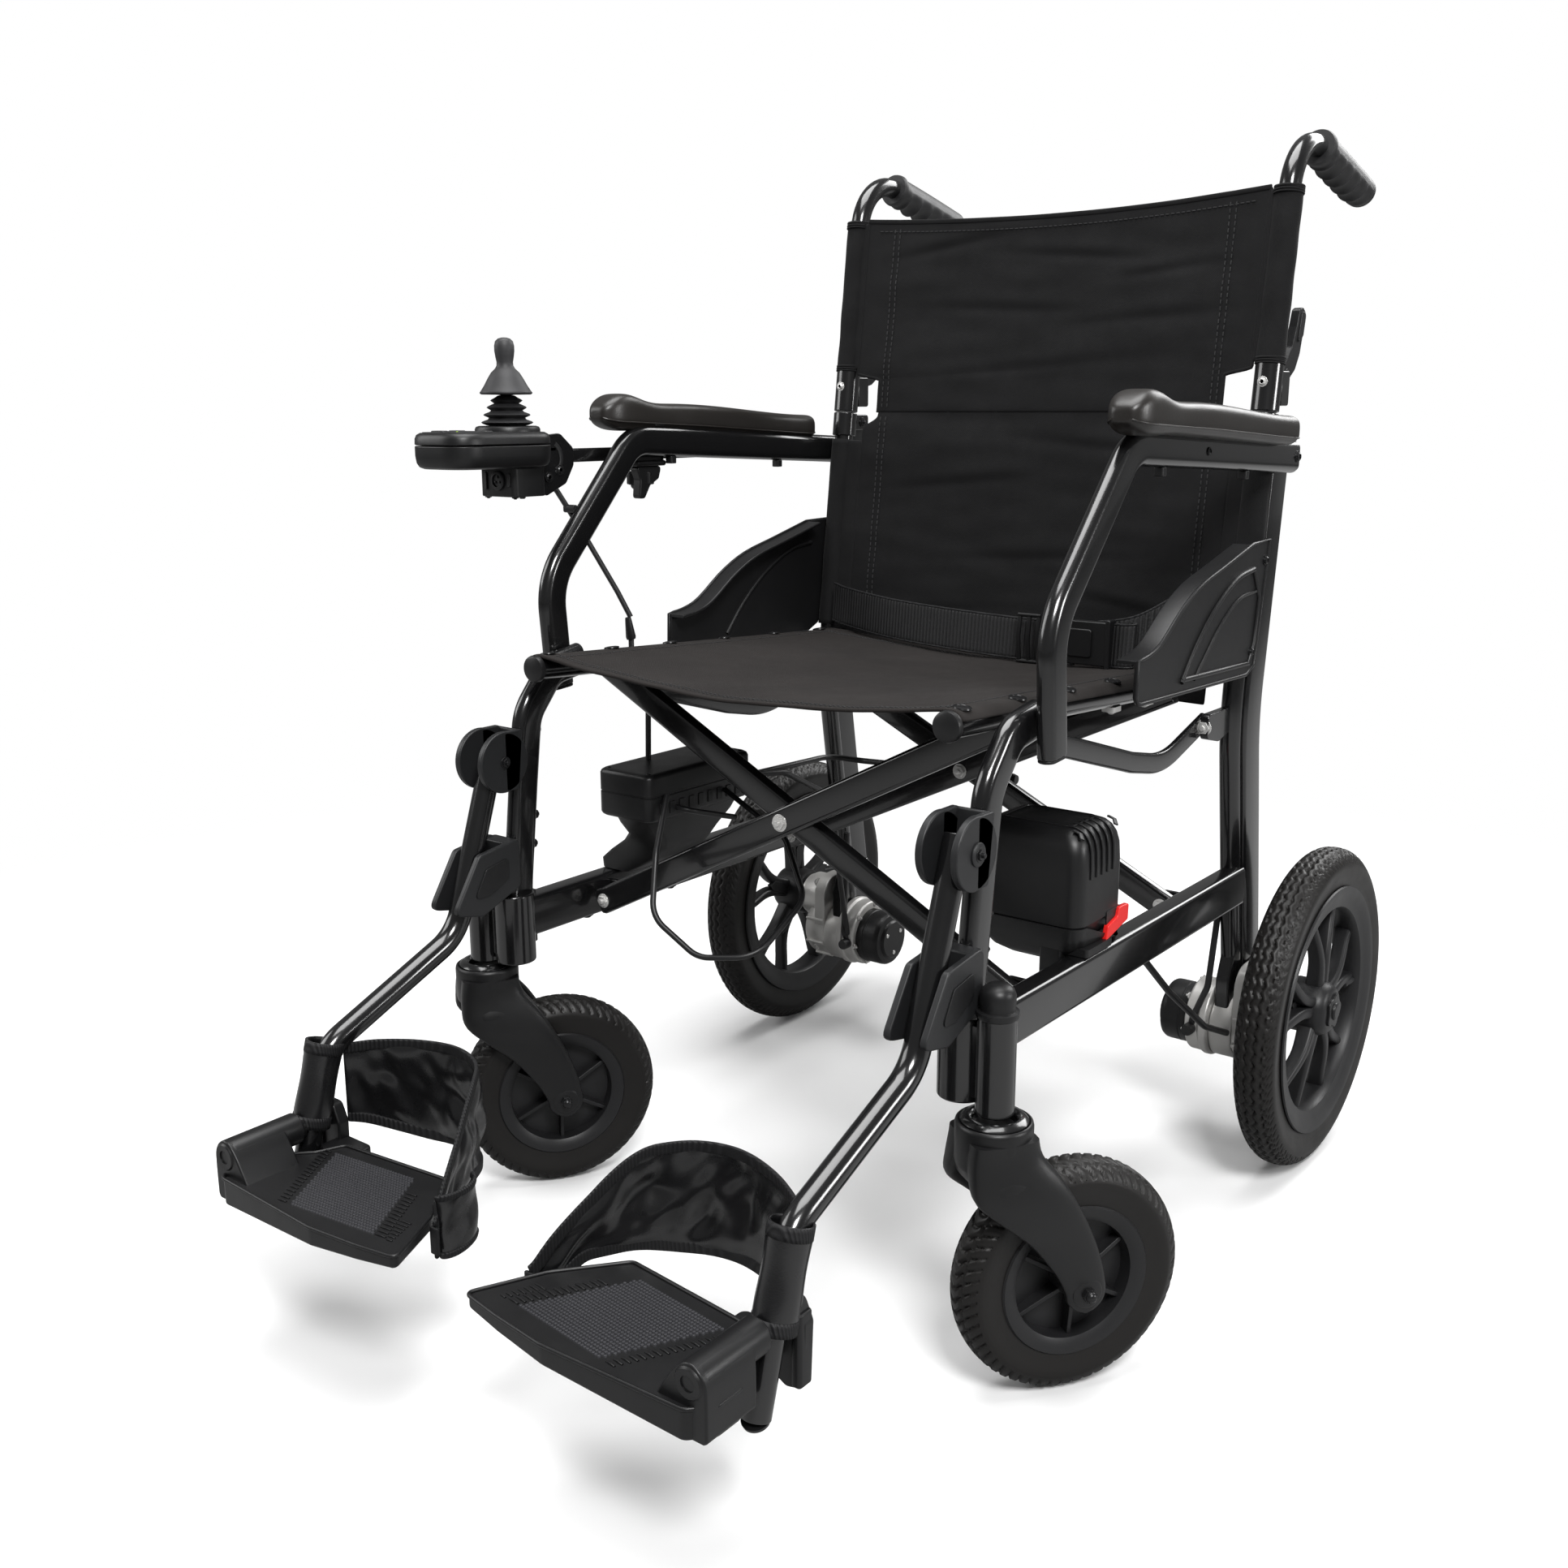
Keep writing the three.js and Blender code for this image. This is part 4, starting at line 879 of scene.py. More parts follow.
def footplates():
    plan = blend_ring([(36, -809), (72, -815), (118, -820), (232, -815), (246, -800), (246, -779),
                       (212, -746), (203, -724), (97, -713), (61, -757)],
                      [5, 40, 30, 8, 8, 4, 10, 7, 7, 26], 6)
    deck = prism(plan, "z", 119.5, 138.2)
    for v in deck.verts:
        if v.z < 130:
            v.z = 128.5 - 12 * min(1.0, max(0.0, (v.x - 40) / 180))
    both("footplate_deck", deck, PLASTIC, "plate_{}", ["footplate_{}"], bevel=2.4, segments=4, angle=30)
    rim = sweep([(x, y, 138.4) for x, y in plan], circle(1.5, 10), UP, closed=True)
    both("footplate_rim", rim, PLASTIC, "plate_{}")
    profile = blend_curve([(206, 136), (212, 146), (220, 158), (229, 166), (238, 165.6), (245, 158),
                           (246.6, 146), (246.6, 119)], 26)
    body = prism(profile + [(244, 116.5), (206, 116.5)], "y", -811, -764)
    both("footplate_boss", body, PLASTIC, "plate_{}", bevel=2.2, segments=3)
    barrel = lathe([(5.4, -812), (9.6, -812.2), (11.8, -810), (12.6, -806), (12.6, -749), (11.6, -748),
                    (5.4, -748)], "y", PLATE_PIN, 40, closed=True)
    both("footplate_barrel", barrel, PLASTIC, "plate_{}")
    hole = lathe([(0, -800), (5.4, -800), (5.4, -798), (0, -798)], "y", PLATE_PIN, 28)
    both("footplate_boss_bore", hole, CABLE, "plate_{}")
    lug = merged(prism(blend_ring([(220, 108), (232, 101), (246, 104), (247.6, 150), (241, 165),
                                   (226, 165), (219, 150)], 6), "y", -718, -707.6),
                 block(190, 226, -734, -707.6, 119, 136, 6), block(239, 247, -722, -708, 106, 158, 3))
    both("footplate_lug", lug, PLASTIC, "plate_{}", bevel=1.8, segments=3)
    ridges = Shape()
    for i in range(17):
        if i < 13:
            ridges.add(plate_ridge(-0.15, -0.035, i / 16, 0.5, 2.0, 1.7, 0.7))
        ridges.add(plate_ridge(1.035, 1.13, i / 16, 0.5, 2.0, 1.7, 0.7))
    for i in range(7):
        ridges.add(plate_ridge(-0.23 - 0.01 * i, -0.17 + 0.002 * i, -0.02 + i * 0.055, 0.4, 1.8, 1.5, 0.6))
    both("footplate_ridges", ridges, PLASTIC, "plate_{}")
    knobs = Shape()
    pip = lathe([(1.5, 0), (1.15, 0.8), (0, 1.05)], "z", count=6)
    for i in range(30):
        for k in range(26):
            spot = plate_point((i + 0.5 * (k % 2)) / 30.5, k / 25)
            knobs.add(pip.copy().move(*spot))
    both("footplate_grip", knobs, TREAD, "plate_{}")


def cloth_strip(spine, tall, wrinkle, rows=16, seed=0.0):
    """A band of cloth along a curve: each spine point comes with its low and high edge heights."""
    sheet = []
    count = len(spine)
    for i, p in enumerate(spine):
        tangent = (spine[min(i + 1, count - 1)] - spine[max(i - 1, 0)]).normalized()
        out = Vector((tangent.y, -tangent.x, 0)).normalized()
        row = []
        for k in range(rows):
            t = k / (rows - 1)
            low, high = tall(i / (count - 1))
            z = low + (high - low) * t
            soft = math.sin(math.pi * t) ** 0.5 * math.sin(math.pi * min(1, max(0, i / (count - 1)))) ** 0.4
            push = wrinkle * soft * (noise.noise(Vector((i * 0.10 + seed, t * 1.9 + z * 0.01, seed))) * 1.3
                                     + 0.5 * noise.noise(Vector((i * 0.26 + t * 2.2, t * 3.4, seed + 4))))
            row.append(Vector((p.x, p.y, z)) + out * push)
        sheet.append(row)
    return sheet


def tape(rows, section, end_side):
    """Edging along both long edges of a sheet and along its last row."""
    return merged(*(sweep(line, section, side) for line, side in (
        ([row[0] for row in rows], UP), ([row[-1] for row in rows], UP), (rows[-1], end_side))))


def heel_straps():
    """One band per foot: a sleeve round the footrest tube, then a curve behind the heel to the inner edge
    of the plate. The right band ends in a pouch; the left one tucks under its plate."""
    spine = smooth_path([(232, -700, 0), (212, -682, 0), (180, -665, 0), (145, -657, 0), (113, -665, 0),
                         (90, -687, 0), (72, -717, 0), (57, -748, 0), (49, -764, 0)], 72)

    def tall(t):
        low = (146 - 13 * smooth_step(t / 0.3) + 7 * smooth_step((t - 0.5) / 0.2)
               - 24 * smooth_step((t - 0.78) / 0.14))
        high = 205 + 6 * math.sin(math.pi * min(1, t * 1.3)) - 68 * smooth_step((t - 0.6) / 0.42)
        return low, high

    for side, sign in SIDES:
        sheet = cloth_strip(spine, tall, 7.0, 22, 3.0 if sign > 0 else 11.0)
        pouch_rows = []
        for i in range(14):
            t = i / 13
            a = math.radians(-12 + 200 * t)
            x, y = 50 - 8 * math.sin(a), -742 + 17 * math.cos(a)
            pouch_rows.append([Vector((x + 1.2 * math.sin(k * 0.9 + i * 0.5), y,
                                       118 + 44 * k / 9 - 6 * t)) for k in range(10)])
        cuff_path = [(HX + 1.6, -714.6 + (214 - z) * -0.292, z) for z in range(216, 149, -3)]
        cuff = sweep(cuff_path, circle(14, 40), caps=False,
                     scale=lambda t: (1 + 0.03 * math.sin(t * 9 + 1), 1 + 0.03 * math.cos(t * 7)))
        hems = merged(sweep(cuff_path[:4], circle(14.6, 40), caps=False),
                      sweep(cuff_path[-4:], circle(14.6, 40), caps=False))
        for name, shape, mat, node, solid in (
                ("heel_strap_band", grid(sheet), NYLON, ["heel_strap"], 1.6),
                ("heel_strap_binding", tape(sheet, rounded(9.0, 3.2, 1.5, 3), (1, 0, 0)), BINDING, [], 0),
                ("heel_strap_pouch", grid(pouch_rows), NYLON, [], 1.6),
                ("heel_strap_pouch_binding", tape(pouch_rows, rounded(6.0, 3.0, 1.4, 3), (0, 1, 0)),
                 BINDING, [], 0)):
            if sign > 0 and "pouch" in name:
                continue
            made = shape if sign > 0 else shape.mirror()
            obj = piece(f"{name}_{side}", made, mat, None, [f"{n}_{side}" for n in node], solidify=solid,
                        subdivide=1)
            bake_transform(obj)
        for name, shape, mat, solid in (("heel_strap_cuff", cuff, NYLON, 1.4),
                                        ("heel_strap_hem", hems, BINDING, 1.6)):
            piece(f"{name}_{side}", shape if sign > 0 else shape.mirror(), mat, f"hanger_{side}",
                  solidify=solid)


# ---------- cross brace and seat ----------
SEAT_FRONT = -497


def seat_z(y):
    """Height of the seat rails' axis."""
    return 490 - 0.056 * (y - SEAT_FRONT)


def braces():
    for name, lean, offset in (("a", -1, 1), ("b", 1, -13)):
        bars, ends, bolts = Shape(), Shape(), Shape()
        for y in (-412, -130):
            y0 = y + offset
            top = seat_z(y) - 6
            low, high = Vector((-lean * 206, y0 + 6, 265)), Vector((lean * 206, y0 + 6, top))
            along = (high - low).normalized()
            bars.add(sweep([low - along * 6, high + along * 4], rounded(12, 24, 3.6, 5), (0, 1, 0)))
            ends.add(sweep([low - along * 8.5, low - along * 6.2], rounded(11, 22, 3.2, 5), (0, 1, 0)))
            ends.add(lathe([(0, 0), (11.4, 0), (11.4, 14), (0, 14)], "y",
                           (lean * 206, y0 - 1, seat_z(y)), 30))
            bolts.add(bolt((-lean * 206, y0, 265), "y", 4.6, 3, -1, True))
            if offset < 0:
                bolts.add(bolt((0, y0, (265 + top) / 2), "y", 5.2, 3.6, -1, True))
        piece(f"brace_bars_{name}", bars, PAINT, f"brace_{name}", [f"cross_brace_{name}"], bevel=0.6)
        piece(f"brace_ends_{name}", ends, PLASTIC, f"brace_{name}", bevel=0.8)
        piece(f"brace_bolts_{name}", bolts, ZINC, f"brace_{name}", bevel=0.4)
        x = lean * 206
        rail = sweep([(x, y, seat_z(y)) for y in (SEAT_FRONT, -78)], circle(9.5, 32))
        piece(f"seat_rail_{name}", rail, PAINT, f"brace_{name}", bevel=0.6)
        plug = lathe([(0, -6), (9, -6), (11, -5), (11.6, -3), (11.6, -0.6), (10.4, 0), (0, 0)], "y",
                     (x, -496.6, seat_z(SEAT_FRONT)), 40)
        cap = lathe([(0, 0), (10.4, 0), (11.2, 1), (11.2, 2), (9, 4), (0, 4)], "y", (x, -79, seat_z(-78)), 40)
        piece(f"seat_rail_plugs_{name}", merged(plug, cap), PLASTIC, f"brace_{name}")
        clips = Shape()
        for y in (-350, -246, -184):
            clips.add(block(x - 6, x + 6, y - 7, y + 7, seat_z(y) - 13.4, seat_z(y) - 9, 2, "z"))
            clips.add(bolt((x, y, seat_z(y) - 13.4), "z", 2.8, 1.4, -1))
        piece(f"seat_rail_clips_{name}", clips, ZINC, f"brace_{name}", bevel=0.5)
    stay = fillet([(218.5, -86, 430), (218.5, -170, 406), (218.5, -230, 418), (218.5, -366, 457)],
                  [110, 120], 14)
    both("stay_bar", sweep(stay, rounded(6, 18, 2.9, 5)), PAINT, "stay_{}", ["seat_stay_{}"], bevel=0.5)
    ends = merged(bolt((215.4, -88, 427), "x", 5.4, 3, -1, True),
                  bolt((215.4, -362, 456), "x", 4.6, 2.6, -1, True))
    both("stay_bolts", ends, ZINC, "stay_{}", bevel=0.4)
    both("stay_bracket_bolt", bolt((226, -102.2, 428), "y", 5.2, 3, -1, True), ZINC, "{}_side", bevel=0.4)


def sling_z(x, y):
    """Height of the seat cloth: over the rails at its edges, hanging a little between them."""
    across = min(1.0, abs(x) / 198)
    sag = (15 - 6 * (y - SEAT_FRONT) / 420) * (1 - across ** 2)
    wave = (1.7 * noise.noise(Vector((x * 0.011, y * 0.015, 2)))
            + 0.8 * noise.noise(Vector((x * 0.03, y * 0.02, 7))))
    fold = 1.2 * math.exp(-((abs(x) - 186 + 8 * math.sin(y * 0.045)) / 7) ** 2) * math.sin(y * 0.075)
    return seat_z(y) + 10.4 - sag + (wave + fold) * (1 - across ** 6)


def on_sling(x, y):
    """A point just above the seat cloth."""
    return Vector((x, y, sling_z(x, y) + 1.0))


def between_braces(obj):
    """Bakes the piece's placement into its mesh; it rides on no body."""
    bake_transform(obj)


def seat():
    rows = []
    for i in range(72):
        y = -495 + i / 71 * 423
        row = []
        for k in range(9):
            angle = math.radians(-70 + 70 * k / 9)
            row.append((-206 + 10.6 * math.sin(angle), y, seat_z(y) + 10.6 * math.cos(angle)))
        for k in range(61):
            x = -206 + 412 * k / 60
            row.append((x, y, sling_z(x, y)))
        row += [(-p[0], y, p[2]) for p in reversed(row[:9])]
        rows.append(row)
    cloth = piece("seat_cloth", grid(rows), SEAT, None, ["seat_sling"], solidify=1.6, subdivide=1)
    hems = Shape()
    for index, step in ((0, 1.2), (-1, -1.2)):
        line = [Vector(p) + Vector((0, step, 0.3)) for p in rows[index]]
        hems.add(sweep(line, rounded(6.0, 2.8, 1.3, 3), (0, 1, 0)))
    hem = piece("seat_hem", hems, SEAT, None, subdivide=1)
    stitches = Shape()
    lift, thread = (0, 0, 0.25), circle(0.45, 5)
    for y in (-483, -94, -478.5, -98.5):
        for k in range(92):
            x = -196 + k * 4.3
            stitches.add(arch(on_sling(x, y), on_sling(x + 2.5, y), lift, thread, (0, 1, 0)))
    for x in (-191, 191):
        for k in range(92):
            y = -484 + k * 4.3
            stitches.add(arch(on_sling(x, y), on_sling(x, y + 2.5), lift, thread, (1, 0, 0)))
    for obj in (cloth, hem, piece("seat_stitching", stitches, THREAD, None)):
        between_braces(obj)
    snap = lathe([(0, 0), (6.4, 0), (7, 0.5), (6.6, 1.5), (4.2, 2.0), (3.4, 1.5), (1.6, 1.6), (0, 2.1)],
                 "z", count=28)
    for name, sign in (("a", -1), ("b", 1)):
        snaps = Shape()
        for k in range(6):
            y = -482 + k * 78
            snaps.add(snap.copy().turn((0, 1, 0), sign * 8).move(sign * 207, y, seat_z(y) + 11.2))
        piece(f"seat_snaps_{name}", snaps, BLACK_BOLT, f"brace_{name}")


# ---------- battery and power module ----------
def battery():
    stations = ((292.2, 9, 10), (294, 7, 11), (298, 4.6, 12), (307.6, 2.8, 12.5), (308.4, 0.2, 13),
                (312, 0, 13), (352, 0, 13), (366, 0.8, 13), (374, 2.6, 13), (380, 5.8, 12),
                (383.6, 9.4, 11), (385.4, 14, 9), (385.5, 30, 6))
    rows = [box_ring(*BATTERY_AT, z, 98 - 2 * inset, 78 - 2 * inset, radius) for z, inset, radius in stations]
    piece("battery_case", ring_rows(rows), PLASTIC, "battery", ["battery_pack"], angle=50)
    trim = Shape()
    for i in range(5):
        y = -336 + i * 9.5
        line = smooth_path([(239.4, y, 346), (239.4, y, 358), (238.2, y, 372), (233.6, y, 381.2),
                            (225, y, 385.6), (218, y, 386)], 16)
        trim.add(sweep(line, rounded(3.4, 1.8, 0.8, 3), (0, 1, 0)))
    trim.add(sweep([Vector((BATTERY_AT[0] + a, BATTERY_AT[1] + b, 385.8)) for a, b in rounded(62, 44, 6)],
                   circle(0.8, 8), UP, closed=True))
    piece("battery_ribs", trim, PLASTIC, "battery")
    slots = Shape()
    for y in (-345, -287):
        slots.add(sweep([(234.6, y, 379.6), (231.6, y + 3, 383), (226, y + 3, 384.8)],
                        rounded(5, 1.6, 0.7, 3), (0, 1, 0)))
    slots.add(block(238.6, 239.6, -306, -281, 291.8, 312, 1.5, "x"))
    piece("battery_slots", slots, CABLE, "battery")
    latch = merged(block(217, 238.6, -281, -271.4, 293, 309, 3, "x"),
                   prism(blend_ring([(-311, 288.5), (-272, 297.5), (-271.4, 311), (-288, 312),
                                     (-291, 304.5), (-307, 300.5)], 2), "x", 237.6, 242.4))
    piece("battery_latch_tab", latch, RED, "battery_catch", ["battery_latch"], bevel=1.1, segments=3)
    outer = ((272, 22, 18), (273.4, 17, 18), (279, 9, 18), (288, 3.4, 16), (298, 0.2, 15), (307.4, -1.2, 14))
    inner = ((307.4, 1.0, 12), (303, 1.6, 12), (297, 3.4, 12), (291.4, 7.6, 11))
    tray = []
    for z, inset, radius in outer + inner:
        tray.append([Vector((BATTERY_AT[0] + a, BATTERY_AT[1] + b, min(z, 287.0) if a > 16 and b > 0 else z))
                     for a, b in rounded(98 - 2 * inset, 78 - 2 * inset, radius, 7)])
    foot = merged(block(203, 243, -344, -300, 283.6, 290, 3, "z"),
                  block(203, 222.4, -350, -296, 246, 290, 3, "z"))
    piece("battery_cradle_body", merged(ring_rows(tray), foot), PLASTIC, "left_side", ["battery_cradle"],
          angle=45)
    lead = tube([(226, -264, 300), (222, -256, 284), (218, -240, 250), (219, -190, 236), (224, -140, 190),
                 (234, -76, 138), (240, -36, 120)], [10, 16, 16, 20, 30, 20], 3.2, 12)
    piece("battery_lead", lead, CABLE, "left_side")


def power_module():
    rows = [box_ring(-172, -360, z, 64 - 2 * inset, 142 - 2 * inset, 8) for z, inset in (
        (349, 2.4), (350.4, 0.8), (352.5, 0), (370.6, 0), (371, 0.8), (372, 0.8), (372.4, 0), (388, 0),
        (390.4, 0.9), (391.8, 2.8), (392, 7))]
    piece("power_module_body", ring_rows(rows), PLASTIC, "right_side", ["power_module"], angle=40)
    fins = merged(*(block(-140.4, -139.2, y, y + 7, 354, 365, 1, "x") for y in range(-418, -301, 13)))
    piece("power_module_fins", fins, PLASTIC, "right_side", bevel=0.4)
    funnel = ring_rows([box_ring(x, -356, z, wide, deep, 8) for z, x, wide, deep in (
        (350, -174, 50, 126), (338, -176, 48, 110), (324, -180, 46, 82), (314, -188, 52, 72),
        (302, -202, 60, 69), (292, -216, 56, 69), (283.6, -224, 38, 69))])
    piece("power_module_stand", funnel, PLASTIC, "right_side", bevel=0.8)
    screws = merged(*(bolt((x, y, 390.8), "z", 2.6, 0.6) for y in (-423, -297) for x in (-196, -148)))
    piece("power_module_screws", screws, BLACK_BOLT, "right_side", bevel=0.3)


# ---------- armrests ----------
def arm_pad_section(t):
    """Half width, bottom, top and fullness of the pad at t from its nose to its back end."""
    nose = math.sqrt(max(0.0, 1 - (1 - min(1, t / 0.075)) ** 2.2))
    tail = math.sqrt(max(0.0, 1 - (1 - min(1, (1 - t) / 0.045)) ** 2.4))
    bulb = math.exp(-((t - 0.085) / 0.085) ** 2)
    top = 709.5 + 9 * bulb - 11.5 * smooth_step((t - 0.3) / 0.7)
    bottom = 689 - 2.5 * bulb - 16.5 * t
    half = 16.6 + 1.1 * bulb - 1.0 * math.exp(-((t - 0.27) / 0.09) ** 2)
    return half, bottom, top, nose * tail


def armrests():
    path = fillet([(250, 1, 661.5), (250, -325, 677), (250, -436, 556), (250, -428, 462)], [38, 60], 14)
    frame_bar = sweep(path, rounded(15, 28, 7.4, 8))
    both("armrest_bar", frame_bar, PAINT, "armrest_{}", ["armrest_frame_{}"], bevel=1)
    ends = merged(block(243.4, 256.6, 0.6, 3.6, 648.5, 675, 6, "y"),
                  sweep([(250, -428, 462), (250, -427.8, 459.5)], rounded(14, 27, 6.8, 8)))
    both("armrest_end_plugs", ends, PLASTIC, "armrest_{}", bevel=0.8)
    screws = merged(bolt((257.4, -5, 662), "x", 3.6, 1.8), bolt((257.5, -200, 671), "x", 2.4, 0.8))
    both("armrest_bolts", screws, BLACK_BOLT, "armrest_{}", bevel=0.3)
    nubs = merged(block(246, 254, -112, -104, 646, 653, 1.5, "z"),
                  block(246, 254, -276, -268, 654, 661, 1.5, "z"),
                  block(244, 258, -300, -286, 689, 693, 3, "z"), block(244, 258, -110, -96, 680, 693, 3, "z"))
    both("armrest_nubs", nubs, PLASTIC, "armrest_{}", bevel=0.8)
    rows = []
    for i in range(64):
        t = 0.5 - 0.5 * math.cos(math.pi * i / 63)
        half, bottom, top, full = arm_pad_section(t)
        centre = Vector((259.5, -362 + 318 * t, bottom + (top - bottom) * 0.46))
        wide, tall = half * (0.3 + 0.7 * full), (top - bottom) / 2 * (0.25 + 0.75 * full)
        ring = []
        for a, b in soft_ring(wide, tall, 0.5, 0.6, 40):
            tuck = 0.93 if b < -tall * 0.55 else 1.0
            ring.append(centre + Vector((a * tuck, 0, b * (1.08 if b > 0 else 0.92))))
        rows.append(ring)
    both("arm_pad_skin", ring_rows(rows), PAD, "armrest_{}", ["arm_pad_{}"], subdivide=1)
    seams = Shape()
    for pick in (22, 38):
        line = [row[pick] + Vector((0, 0, 0.1)) for row in rows[2:-2]]
        seams.add(sweep(line, circle(0.7, 8), (0, 0, 1)))
    both("arm_pad_seam", seams, PAD, "armrest_{}")


# ---------- controller ----------
CX = -270  # the middle of the controller and its bar
STICK_AT = (CX, -460, 0)


def control_arm():
    bar = sweep([(CX, -424, 664), (CX, -176, 664)], rounded(12, 12, 1.6, 3))
    piece("control_bar", bar, PAINT, "controller", ["control_arm"], bevel=0.6)
    end = block(CX - 5.6, CX + 5.6, -176.4, -174, 658.4, 669.6, 1.4, "y")
    piece("control_bar_end", end, PLASTIC, "controller", bevel=0.5)
    plate = blend_ring([(-438, 682), (-408, 684), (-392, 671), (-392, 656), (-402, 640), (-426, 630),
                        (-438, 634)], [3, 6, 6, 6, 8, 5, 3])
    slot = [(-420 + 12.5 * math.cos(math.radians(a)), 662 + 14 * math.sin(math.radians(a)))
            for a in range(-64, 65, 16)]
    shape = merged(prism(plate, "x", CX - 10.8, CX - 7.8), prism(plate, "x", CX + 7.8, CX + 10.8),
                   block(CX - 10.8, CX + 10.8, -436, -412, 668.4, 672, 2, "z"))
    piece("tilt_bracket", shape, PAINT, "controller", bevel=0.7)
    slots = merged(*(sweep([(x, y, z) for y, z in slot], rounded(0.8, 4.4, 0.3, 2))
                     for x in (CX + 10.9, CX - 10.9)))
    piece("tilt_bracket_slots", slots, CABLE, "controller")
    screws = merged(bolt((CX + 10.8, -410, 652), "x", 3.2, 1.2),
                    bolt((CX + 10.8, -424, 646), "x", 3.2, 1.2),
                    bolt((CX - 10.8, -410, 652), "x", 3.2, 2, -1),
                    bolt((CX, -432, 672), "z", 2.8, 1.6), bolt((CX, -418, 672), "z", 2.8, 1.6))
    piece("tilt_bracket_screws", screws, BLACK_BOLT, "controller", bevel=0.3)
    clamp = merged(block(CX - 12, CX + 16, -314, -274, 670.6, 676.4, 2.5, "y"),
                   block(CX - 12, CX + 16, -314, -274, 652, 657.5, 2.5, "y"),
                   block(CX - 12, CX - 6.5, -314, -274, 654, 674, 2, "y"),
                   block(CX + 6.5, CX + 13, -314, -274, 654, 674, 2, "y"))
    piece("arm_clamp", clamp, PLASTIC, "armrest_right", bevel=1.4, segments=3)
    lever = prism(blend_ring([(-312, 652), (-276, 652), (-280, 640), (-292, 634), (-300, 622), (-308, 622),
                              (-306, 640)], 4), "x", CX + 2, CX + 12)
    piece("arm_clamp_trigger", lever, PLASTIC, "armrest_right", bevel=1.6, segments=3)
    knob = merged(prism(lobed_ring(12.2, 1.1, 7, 84), "z", 634.6, 647),
                  lathe([(0, 630.5), (7, 630.5), (8.6, 631.6), (9.5, 634.6), (0, 634.6)], "z", count=40),
                  lathe([(0, 647), (6, 647), (5, 651), (0, 651)], "z", count=28)).move(CX, -294, 0)
    piece("clamp_knob_body", knob, PLASTIC, "arm_knob", ["clamp_knob"], bevel=1.2, segments=3)


